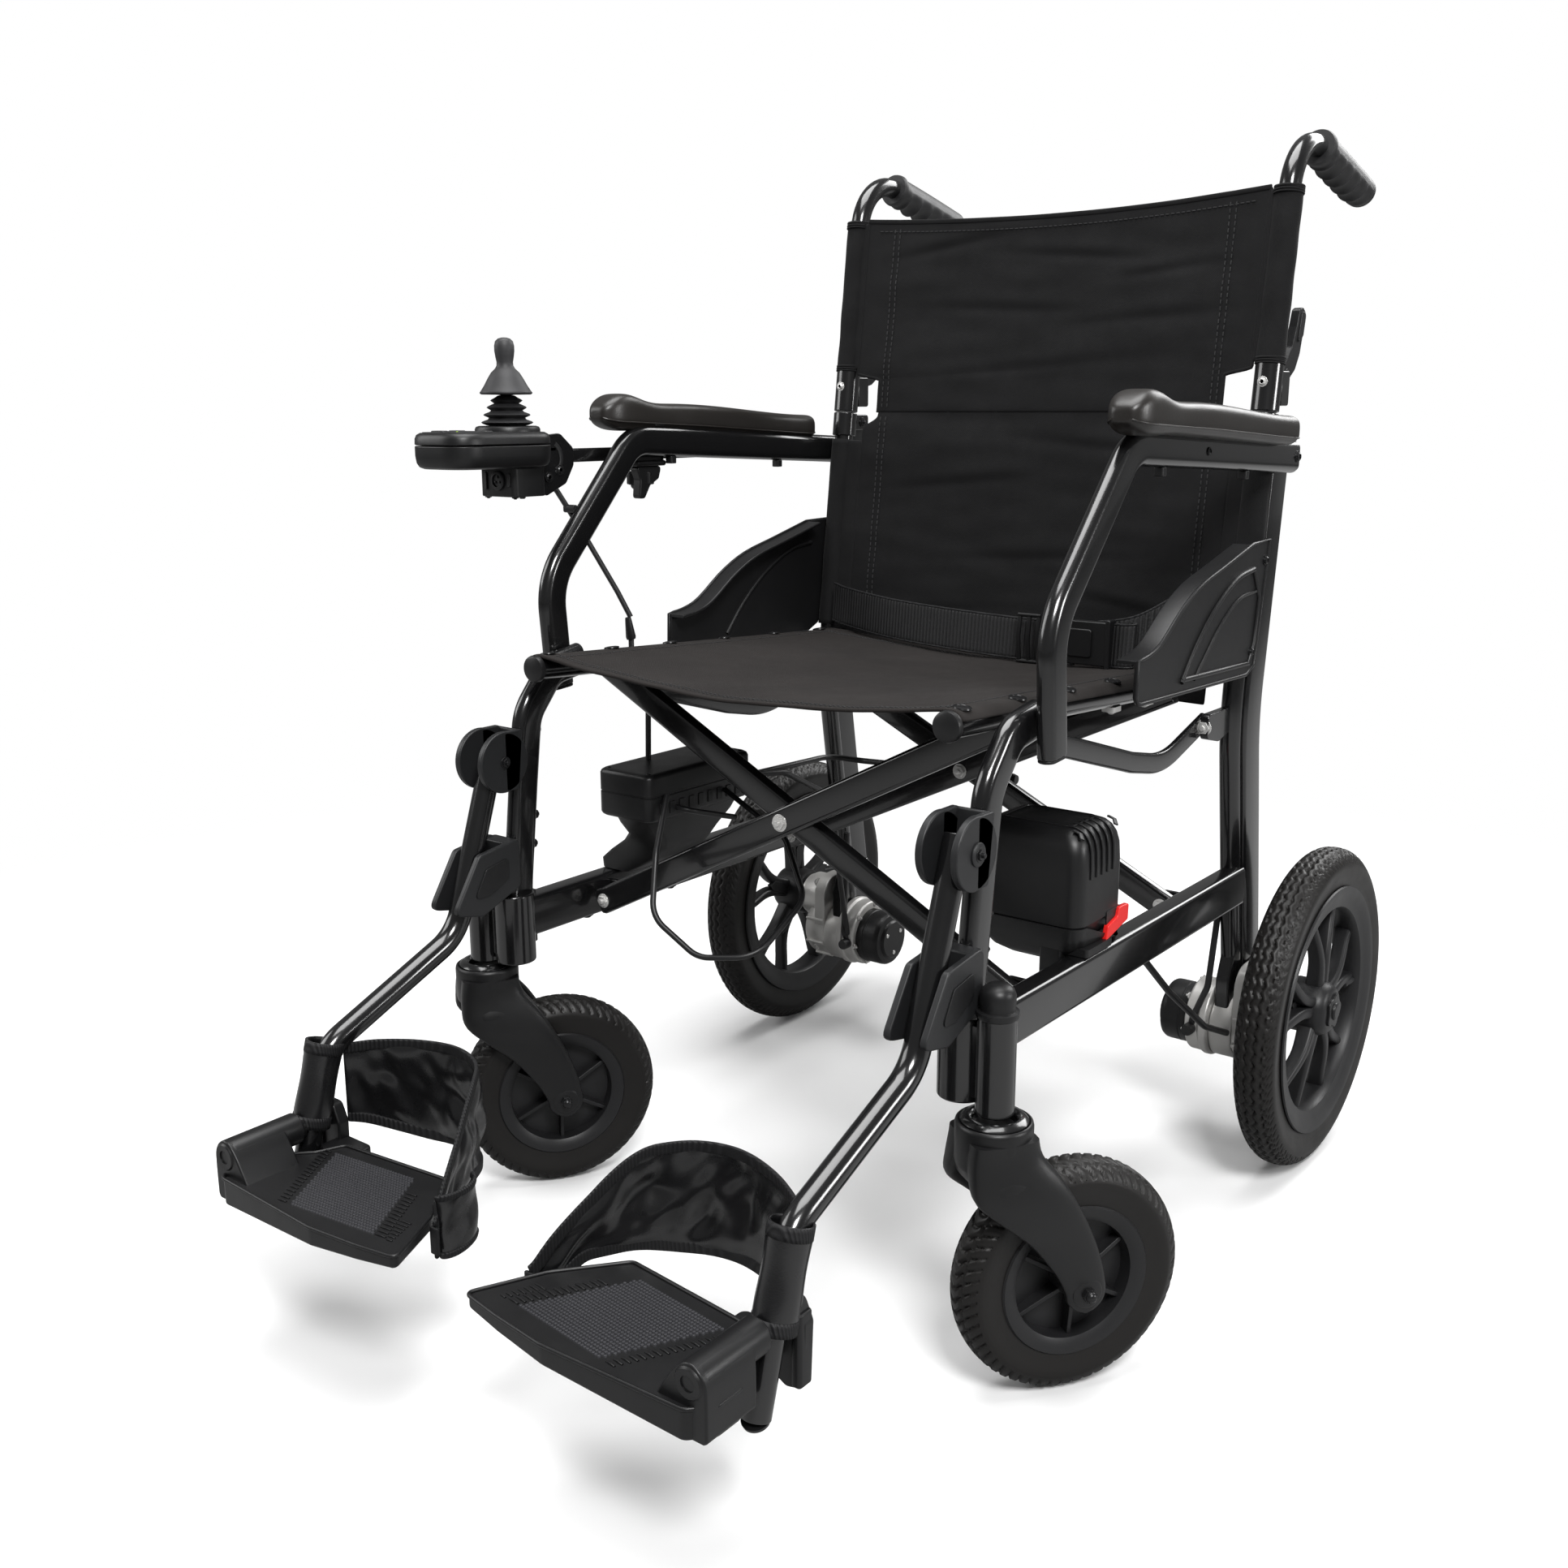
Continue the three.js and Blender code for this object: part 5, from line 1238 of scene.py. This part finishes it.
def controller():
    outline = blend_ring([(-305.5, -545), (-234.5, -545), (-234.5, -432), (-305.5, -432)],
                         [26, 26, 24, 24], 10)

    def shell(stations):
        """The housing's outline at each height, drawn in by an inset."""
        return ring_rows([[Vector((CX + (x - CX) * (1 - inset / 35.5),
                                   -488.5 + (y + 488.5) * (1 - inset / 56.5), z)) for x, y in outline]
                          for z, inset in stations])

    tub = shell(((656, 6), (657.5, 2.6), (661, 0.8), (667, 0), (675, 0)))
    tub.add(block(CX - 22, CX + 22, -475, -437, 631, 657, 5, "z"))
    piece("controller_tub", tub, PLASTIC, "controller", ["controller_base"], bevel=1.0, segments=3)
    cover = shell(((675.6, 1.2), (676.2, 0), (681, 0.2), (684, 1.4), (685.7, 4.0), (686, 7.5)))
    cover.add(lathe([(28, 684), (28, 688), (27, 690), (24.5, 690.8), (11, 691), (11, 684)], "z",
                    STICK_AT, 64, closed=True))
    piece("controller_lid", cover, PLASTIC, "controller", ["controller_cover"], bevel=0.4)
    port = merged(lathe([(5.6, 0), (8.2, 0), (8.2, 1.6), (7.2, 2.2), (5.6, 2.2)], "y", count=36, closed=True),
                  lathe([(0, 0.4), (5.6, 0.4), (5.6, 0.8), (0, 0.8)], "y", count=28))
    for a in (90, 210, 330):
        port.add(lathe([(0, 0), (1.15, 0), (1.15, 1.7), (0, 2)], "y",
                       (2.9 * math.cos(math.radians(a)), 0, 2.9 * math.sin(math.radians(a))), 12))
    port.turn(UP, 180).move(CX + 2, -475, 645)
    port.add(block(CX - 16, CX - 12, -476.4, -474.6, 637, 652, 1.2, "y"),
             block(CX + 14, CX + 17, -476.2, -474.6, 640, 651, 1.2, "y"))
    piece("charge_port", port, RUBBER, "controller", bevel=0.3)
    feet = merged(bolt((CX, -446, 631), "z", 3.0, 2.0, -1), bolt((CX - 17, -470, 631), "z", 2.0, 1.0, -1),
                  bolt((CX + 17, -470, 631), "z", 2.0, 1.0, -1))
    piece("controller_screws", feet, BLACK_BOLT, "controller", bevel=0.3)
    panel = prism(blend_ring([(CX - 27, -540), (CX + 27, -540), (CX + 29, -492), (CX - 29, -492)],
                             [20, 20, 5, 5], 8), "z", 685.6, 686.3)
    piece("key_panel", panel, HUB, "controller", bevel=0.2)
    for name, x, y in (("power", CX, -533), ("horn", CX - 17, -521), ("lamp", CX + 17, -521),
                       ("slower", CX - 17, -502), ("faster", CX + 17, -502)):
        key = block(x - 6.8, x + 6.8, y - 4.8, y + 4.8, 682.4, 687.4, 2.4, "z")
        piece(f"key_{name}_cap", key, RUBBER, f"{name}_key", [f"key_{name}"], bevel=1.0, segments=3)
    lamps = merged(*(block(CX - 6 + k * 2.6, CX - 4.4 + k * 2.6, -513, -509, 686.1, 686.8, 0.6, "z")
                     for k in range(5)))
    piece("speed_lamps", lamps, LIT, "controller", bevel=0.2)

    boot_profile = [(11.6, 690.6)]
    for ring, valley, z in ((22.3, 16.4, 693.6), (20.2, 14.6, 700.0), (17.2, 12.6, 706.2),
                            (13.8, 9.6, 712.0)):
        boot_profile += [(valley + 1, z - 2.4), (ring - 1.2, z - 1.0), (ring, z), (ring - 1.2, z + 1.0),
                         (valley, z + 2.6)]
    boot_profile += [(7.6, 716), (5.6, 716.6)]
    boot_profile += [(r - 1.6, z) for r, z in reversed(boot_profile)]
    boot = lathe(boot_profile, "z", STICK_AT, 64, closed=True)
    piece("stick_boot", boot, RUBBER, "stick", ["joystick_boot"], angle=70)
    knob = lathe([(0, 680), (3.8, 680), (3.8, 716.6), (8, 716.8), (21, 717), (22.3, 717.8), (22.4, 718.8),
                  (21.4, 720), (18.4, 724.6), (15.2, 730.4), (12.2, 735.2), (9.6, 737.6), (8.6, 738.6),
                  (7.2, 741), (7.0, 744), (7.8, 748), (8.5, 753), (8.5, 757.4), (7.6, 761.2),
                  (5.2, 763.4), (2.4, 764.2), (0, 764.4)], "z", STICK_AT, 64)
    piece("stick_knob", knob, STICK, "stick", ["joystick"], angle=60)
    ring = lathe([(5.4, 685), (7.4, 685), (7.6, 685.4), (7.6, 688.6), (7.4, 689), (5.4, 689)], "z",
                 STICK_AT, 40, closed=True)
    piece("gimbal_ring", ring, PLASTIC, "gimbal", ["joystick_ring"])


# ---------- back ----------
def back():
    cane = fillet([(POST_X, back_tube_y(702), 702), (POST_X, 14, 944), (POST_X, 186, 906)], [52], 14)
    both("back_cane_tube", sweep(cane, circle(9.5, 30)), PAINT, "back_{}", ["back_cane_{}"], bevel=0.6)
    sleeve_path = [(POST_X, back_tube_y(z), z) for z in (700.9, 712, 728, 751)]
    both("fold_sleeve", sweep(sleeve_path, circle(12.4, 36)), PAINT, "back_{}", bevel=1)
    yoke = merged(sweep([(POST_X, back_tube_y(z), z) for z in (676, 690, 699.6)], circle(12.3, 36)),
                  block(222, 236, -14, 16, 682, 698, 4, "x"))
    both("fold_yoke", yoke, PAINT, "{}_side", bevel=1)
    bolts = bolt((POST_X, back_tube_y(727) - 12.4, 727), "y", 3.2, 1.8, -1)
    both("fold_sleeve_bolts", bolts, ZINC, "back_{}", bevel=0.3)
    low_bolt = bolt((222, 4, 690), "x", 3.4, 2.0, -1, True)
    both("fold_yoke_bolts", low_bolt, BLACK_BOLT, "{}_side", bevel=0.3)
    spread = merged(block(217.4, 221, -9, 9, 706, 736, 3, "x"), block(237, 240.6, -9, 9, 706, 736, 3, "x"))
    both("fold_hinge_ears", spread, PAINT, "back_{}", bevel=0.8)
    lever = blend_ring([(12, 726), (26, 729), (40, 738), (49, 752), (56, 778), (57, 789), (50, 793),
                        (43, 791), (38, 776), (30, 758), (14, 740)],
                       [3, 6, 12, 14, 10, 4, 4, 4, 14, 14, 5], 5)
    handle = merged(prism(lever, "x", 225, 233),
                    prism(blend_ring([(40, 760), (52, 768), (56, 788), (46, 790)], 5), "x", 223.8, 234.2))
    both("back_latch_lever", handle, PLASTIC, "latch_{}", ["back_latch_{}"], bevel=1.8, segments=3)
    both("back_latch_pin", bolt((233, 18, 733), "x", 3.6, 2), BLACK_BOLT, "latch_{}", bevel=0.3)

    start, end = Vector((POST_X, 68, 932.1)), Vector((POST_X, 195, 904.0))
    down = Vector((0, -0.216, -0.976))
    rows = []
    for i in range(120):
        t = i / 119
        centre = start.lerp(end, t)
        swell = 14.4 + 0.5 * math.sin(math.pi * t)
        if t < 0.045:
            swell = 16.4 - 1.2 * (1 - t / 0.045) ** 2
        if t > 0.955:
            swell *= math.sqrt(max(0.02, 1 - ((t - 0.955) / 0.0455) ** 2))
        on = smooth_step((t - 0.08) / 0.06) * smooth_step((0.93 - t) / 0.05)
        finger = abs(math.sin((t - 0.12) / 0.8 * math.pi * 5)) ** 0.7
        ring = []
        for k in range(44):
            a = k / 44 * math.tau
            direction = Vector((math.sin(a), 0, 0)) + down * math.cos(a)
            under = max(0.0, math.cos(a)) ** 1.2
            radius = swell + on * (under * (3.6 - 5.0 * finger) - 0.7 * (math.sin(a * 20) > 0.1)
                                   * (math.cos(a) < -0.05))
            ring.append(centre + direction * radius)
        rows.append(ring)
    both("grip_rubber", ring_rows(rows), RUBBER, "back_{}", ["hand_grip_{}"], angle=60)


# Long creases in the back cloth: x, z, slope in mm per 100 mm, reach and depth.
CREASES = ((-120, 862, 14, 60, 2.6), (30, 846, -9, 80, 2.4), (120, 828, 8, 46, 2.8), (-60, 800, -5, 90, 1.8),
           (96, 786, 4, 70, 1.8), (-40, 742, 6, 110, 1.6), (60, 668, -8, 90, 1.8), (-90, 630, 10, 80, 1.6),
           (20, 560, 5, 120, 1.8), (110, 520, -12, 60, 2.0), (-110, 500, 9, 70, 2.0))


def back_cloth_y(x, z):
    """The back cloth hangs just behind the front of the tubes and bows back a little in the middle."""
    across = min(1.0, abs(x) / 214)
    bow = 13 * (1 - across ** 2)
    wrinkle = (1.8 * noise.noise(Vector((x * 0.006, z * 0.022, 1)))
               + 1.4 * noise.noise(Vector((x * 0.016 + z * 0.004, z * 0.05, 5))))
    for at_x, at_z, lean, reach, depth in CREASES:
        off = z - at_z - lean * (x - at_x) / 100
        fall = math.exp(-((x - at_x) / reach) ** 2)
        wrinkle += 0.65 * depth * fall * (math.exp(-(off / 4.5) ** 2) - 0.6 * math.exp(-((off - 9) / 7) ** 2))
    seam = math.exp(-((abs(x) - 180) / 3.4) ** 2) * (0.9 + 0.5 * math.sin(z * 0.9))
    return back_tube_y(z) - 3.5 + bow + (wrinkle + seam) * (1 - across ** 8)


def back_half(z):
    """Half width of the back cloth: it is cut away beside the folding joint."""
    notch = smooth_step((z - 684) / 12) * smooth_step((740 - z) / 7)
    return 204 + 10 * smooth_step((z - 733) / 7) - 16 * notch


def back_top(x, z):
    """How far the cloth sinks between the tubes; full at its upper edge."""
    return -7.5 * (1 - (abs(x) / 214) ** 2) * smooth_step((z - 800) / 92)


def back_cloth(heights, columns):
    sheet = []
    for z in heights:
        half = back_half(z)
        row = []
        for k in range(columns):
            x = -half + 2 * half * k / (columns - 1)
            high = z + back_top(x, z)
            row.append(Vector((x, back_cloth_y(x, high), high)))
        sheet.append(row)
    return sheet


def back_stitch(x0, z0, x1, z1, side):
    """One thread just in front of the back cloth."""
    a, b = (Vector((x, back_cloth_y(x, z) - 1.4, z)) for x, z in ((x0, z0), (x1, z1)))
    return arch(a, b, (0, -0.35, 0), circle(0.55, 5), side)


def back_stitches(z_low, z_high):
    """Two upright seams at each side."""
    stitches = Shape()
    for x in (-177, -183, 177, 183):
        z = z_low
        while z < z_high - 4:
            stitches.add(back_stitch(x, z, x, z + 3.4, (1, 0, 0)))
            z += 5.6
    return stitches


def back_pocket(z_low, z_high, radius):
    """The sleeve of cloth round the left tube, with its slack."""
    heights = [z_low + (z_high - z_low) * i / 40 for i in range(41)]
    return sweep([(POST_X, back_tube_y(z), z) for z in heights], circle(radius, 40), caps=False,
                 scale=lambda t: (1 + 0.02 * math.sin(23 * t), 1 + 0.04 * math.sin(17 * t + 1)))


def back_wings(x_in, z_low, z_high):
    """The cloth that runs from the panel to the front of each tube."""
    wings = Shape()
    for sign in (-1, 1):
        rows = []
        for i in range(36):
            z = z_low + (z_high - z_low) * i / 35
            rows.append([Vector((sign * (x_in + (224 - x_in) * k / 5),
                                 back_cloth_y(sign * (x_in + 2 * k / 5), z) - 3.8 * (k / 5), z))
                         for k in range(6)])
        wings.add(grid(rows))
    return wings


def back_slings():
    """The upper cloth turns with the canes, the lower one stays on the side frames; they overlap at the
    fold, where the lower cloth lies just behind."""
    upper_heights = ([700.3, 705, 711, 717, 723, 729, 732, 733.5, 735, 736.5, 738, 739.5, 741]
                     + [745 + 3.6 * i for i in range(41)] + [892])
    lower_heights = [438 + 4 * i for i in range(61)] + [682, 685, 688, 691, 694, 697, 700, 703.4]
    upper = back_cloth(upper_heights, 140)
    lower = [[p + Vector((0, 0.9 * smooth_step((p.z - 684) / 16), 0)) for p in row]
             for row in back_cloth(lower_heights, 140)]
    seams_up, seams_low = back_stitches(706, 884), back_stitches(446, 700)
    for k in range(76):
        x = -200 + k * 5.3
        z = 883 + back_top(x, 892)
        seams_up.add(back_stitch(x, z, x + 3.2, z, (0, 1, 0)))
    hems = merged(sweep([p + Vector((0, 0, 0.6)) for p in upper[-1]], rounded(3.6, 5, 1.5, 3), (0, 1, 0)),
                  *(sweep([row[k] for row in upper], rounded(2.8, 3.2, 1.2, 3), (0, 1, 0)) for k in (0, -1)))
    pocket = merged(back_pocket(744, 892, 11.8), back_pocket(886, 892.6, 12.6), back_pocket(742, 748, 12.6))
    both("back_pocket_upper", pocket, BACK, "back_{}", solidify=1.2)
    both("back_pocket_lower", back_pocket(478, 672, 11.6), BACK, "{}_side", solidify=1.2)
    for name, shape, mat, body, node, solid, sub in (
            ("back_cloth_upper", merged(grid(upper), back_wings(213, 744, 891)), BACK, "back_left",
             ["back_sling_upper"], 1.8, 1),
            ("back_hem_upper", hems, BACK, "back_left", [], 0, 0),
            ("back_stitching_upper", seams_up, THREAD, "back_left", [], 0, 0),
            ("back_cloth_lower", merged(grid(lower), back_wings(203, 470, 672)), BACK, "left_side",
             ["back_sling_lower"], 1.8, 1),
            ("back_stitching_lower", seams_low, THREAD, "left_side", [], 0, 0)):
        obj = piece(name, shape, mat, body, node, solidify=solid, subdivide=sub)
        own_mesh(obj)


def webbing(path, tall, lean):
    """A flat strap along a path; lean tips its upper edge towards the back."""
    rows = []
    for i, p in enumerate(path):
        rows.append([p + Vector((0, lean * (k / 8 - 0.5) + 1.2 * math.sin(i * 0.11),
                                 (k / 8 - 0.5) * tall)) for k in range(9)])
    return rows


def lap_belt():
    """Two webbing straps from the back tubes that meet in a buckle on the seat."""
    straps = [webbing(smooth_path(path, 80), 38, 3.4) for path in (
        [(-212, -60, 505), (-186, -72, 502), (-120, -92, 498), (-40, -104, 495), (45, -112, 493),
         (104, -117, 494)],
        [(216, -56, 548), (202, -74, 536), (184, -92, 520), (164, -108, 506), (146, -116, 500),
         (126, -119, 497)],
        [(142, -121, 496), (158, -125, 497), (165, -120, 498), (158, -114, 498), (142, -114, 497)])]
    webs = merged(*(grid(rows) for rows in straps))
    edges = merged(*(sweep([row[k] for row in rows], circle(1.1, 8), UP)
                     for rows in straps for k in (0, -1)))
    slider = Shape()
    for x in (47, 57, 67):
        slider.add(sweep([(x, -119, 473), (x, -122, 496), (x, -119, 517)], rounded(4.4, 3.4, 1.4, 3),
                         (1, 0, 0)))
    for z in (473.5, 517):
        slider.add(sweep([(45, -119.5, z), (69, -119.5, z)], rounded(3.4, 3.4, 1.4, 3), (0, 1, 0)))
    buckle = merged(block(98, 142, -128, -117.5, 477, 517, 4, "y"),
                    block(102, 126, -129.6, -127, 484, 510, 3, "y"),
                    block(139, 144, -129, -116.5, 474.5, 519.5, 2, "y"))
    for item in (piece("belt_straps", webs, WEBBING, None, ["lap_belt"], solidify=1.6, subdivide=1),
                 piece("belt_edges", edges, BINDING, None),
                 piece("belt_slider", slider, PLASTIC, None, bevel=0.6),
                 piece("belt_buckle", buckle, PLASTIC, None, bevel=1.6, segments=3)):
        between_braces(item)


def cables():
    """The runs under the seat and up to the controller; the stick's cable is made as two runs that meet at
    its clip.
    """
    clip_at = (-262, -399, 618)
    low_run = tube([clip_at, (-248, -390, 590), (-226, -375, 543), (-216, -369, 520)], [60, 60], 2.5, 12)
    top_run = tube([(-270, -424, 640), (-268, -408, 636), clip_at], [10], 2.5, 12)
    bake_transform(piece("stick_cable_lower", low_run, CABLE, None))
    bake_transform(piece("stick_cable_upper", top_run, CABLE, None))
    piece("stick_cable_clip", block(-265, -252, -402, -396, 614, 621, 2, "x"), PLASTIC, "armrest_right",
          bevel=0.6)
    relief = lathe([(0, 0), (4.2, 0), (4.6, 2), (3.2, 16), (2.7, 20), (0, 20)], count=18)
    relief.turn((1, 0, 0), 10).move(-216, -369, 500)
    down = tube([(-216, -369, 502), (-214, -371, 470), (-190, -376, 448), (-190, -378, 380),
                 (-168, -402, 362), (-128, -392, 356), (-120, -338, 340)], [8, 10, 20, 14, 12], 2.6, 12)
    low = tube([(-139, -410, 372), (-120, -446, 330), (-104, -470, 282), (-60, -462, 252),
                (-14, -440, 256), (-14, -372, 290), (-60, -340, 330), (-139, -330, 362)],
               [30, 30, 28, 30, 30, 30], 2.6, 12)
    rear = tube([(-172, -290, 362), (-170, -200, 350), (-190, -90, 300), (-214, -44, 200),
                 (-205, -40, 128)], [40, 50, 50, 30], 3.0, 12)
    for name, shape in (("stick_cable_relief", relief), ("seat_cable", down), ("loop_cable", low),
                        ("motor_cable", rear)):
        piece(name, shape, CABLE, "right_side")
    joints = merged(lathe([(0, 0), (6.5, 0), (7.2, 2), (7.2, 34), (5.6, 38), (5.6, 62), (4.4, 66),
                           (0, 66)], "x", (-30, -96, 352), 28),
                    tube([(-172, -290, 358), (-178, -112, 350), (-150, -96, 346), (-28, -96, 352)],
                         [30, 24], 3, 12))
    piece("rear_connector", joints, CABLE, "right_side")


# ---------- stage ----------
# The camera that matches the photo: metres from the wheels' middle, degrees and focal length.
CAMERA_AT = (0.7749, -1.4157, 0.7062)
CAMERA_TURN = (90 - 13.46, 0.13, 37.84)
FOCAL_MM = 36.18


def floor_finish(n, shader):
    """Pale paper that fades to plain white away from the chair, so that no horizon shows."""
    seen = n.node("ShaderNodeLightPath").outputs["Is Camera Ray"]
    n.colour(seen, (0.30, 0.30, 0.30), (0.82, 0.82, 0.82), shader.inputs["Base Color"])
    shader.inputs["Roughness"].default_value = 0.85
    shader.inputs["Specular IOR Level"].default_value = 0.1
    away = n.node("ShaderNodeVectorMath", operation="LENGTH")
    n.link(n.coords, away.inputs[0])
    fade = n.node("ShaderNodeMapRange", interpolation_type="SMOOTHSTEP")
    fade.inputs["From Min"].default_value = 0.75
    fade.inputs["From Max"].default_value = 1.7
    n.link(away.outputs["Value"], fade.inputs["Value"])
    white = n.node("ShaderNodeEmission", Strength=1.0)
    mix = n.node("ShaderNodeMixShader")
    n.link(n.math("MULTIPLY", fade.outputs["Result"], seen), mix.inputs[0])
    n.link(shader.outputs[0], mix.inputs[1])
    n.link(white.outputs[0], mix.inputs[2])
    n.link(mix.outputs[0], n.tree.nodes["Material Output"].inputs["Surface"])


def studio_world():
    """White behind the chair, a dim grey room in its reflections."""
    world = bpy.data.worlds.new("studio")
    world.use_nodes = True
    tree = world.node_tree
    room = tree.nodes["Background"]
    room.inputs["Color"].default_value = (1, 1, 1, 1)
    room.inputs["Strength"].default_value = 0.19
    white = tree.nodes.new("ShaderNodeBackground")
    white.inputs["Color"].default_value = (1, 1, 1, 1)
    mix = tree.nodes.new("ShaderNodeMixShader")
    tree.links.new(tree.nodes.new("ShaderNodeLightPath").outputs["Is Camera Ray"], mix.inputs[0])
    tree.links.new(room.outputs[0], mix.inputs[1])
    tree.links.new(white.outputs[0], mix.inputs[2])
    tree.links.new(mix.outputs[0], tree.nodes["World Output"].inputs["Surface"])
    return world


# Name, place, size, watts and aim.
LAMPS = (("key", (1.7, -1.9, 2.5), 0.8, 92, (0, -0.3, 0.4)),
         ("fill", (-2.4, -1.8, 1.8), 1.6, 34, (0, -0.3, 0.4)),
         ("rim", (0.6, 2.4, 2.2), 1.6, 60, (0, -0.2, 0.5)),
         ("top", (-0.1, -0.4, 3.1), 2.0, 95, (0, -0.3, 0.3)),
         ("strip", (2.6, 0.4, 1.1), 0.6, 26, (0.2, -0.3, 0.5)))


def stage():
    scene = bpy.context.scene
    floor_mesh = bpy.data.meshes.new("floor")
    floor_mesh.from_pydata([(x, y, -0.0005) for x, y in ((-9, -9), (9, -9), (9, 9), (-9, 9))], [],
                           [(0, 1, 2, 3)])
    floor = bpy.data.objects.new("floor", floor_mesh)
    scene.collection.objects.link(floor)
    floor_mesh.materials.append(material("floor_pale", floor_finish))
    scene.world = studio_world()
    for name, at, size, power, aim in LAMPS:
        lamp = bpy.data.lights.new(name, "AREA")
        lamp.energy = power
        lamp.size = size
        lamp_object = bpy.data.objects.new(name, lamp)
        lamp_object.location = Vector(at) + WHEELS_AT
        lamp_object.rotation_euler = (Vector(aim) - Vector(at)).to_track_quat("-Z", "Y").to_euler()
        scene.collection.objects.link(lamp_object)
    camera_data = bpy.data.cameras.new("camera")
    camera_data.sensor_width = 36
    camera_data.lens = FOCAL_MM
    camera = bpy.data.objects.new("camera", camera_data)
    camera.location = Vector(CAMERA_AT) + WHEELS_AT
    camera.rotation_euler = [math.radians(a) for a in CAMERA_TURN]
    scene.collection.objects.link(camera)
    scene.camera = camera
    scene.view_settings.view_transform = "Standard"


for build in (side_frames, front_catches, skirt_guards, drive_units, drive_wheels, casters, footrests,
              footplates, heel_straps, braces, seat, battery, power_module, armrests, control_arm,
              controller, back, back_slings, lap_belt, cables, stage):
    build()
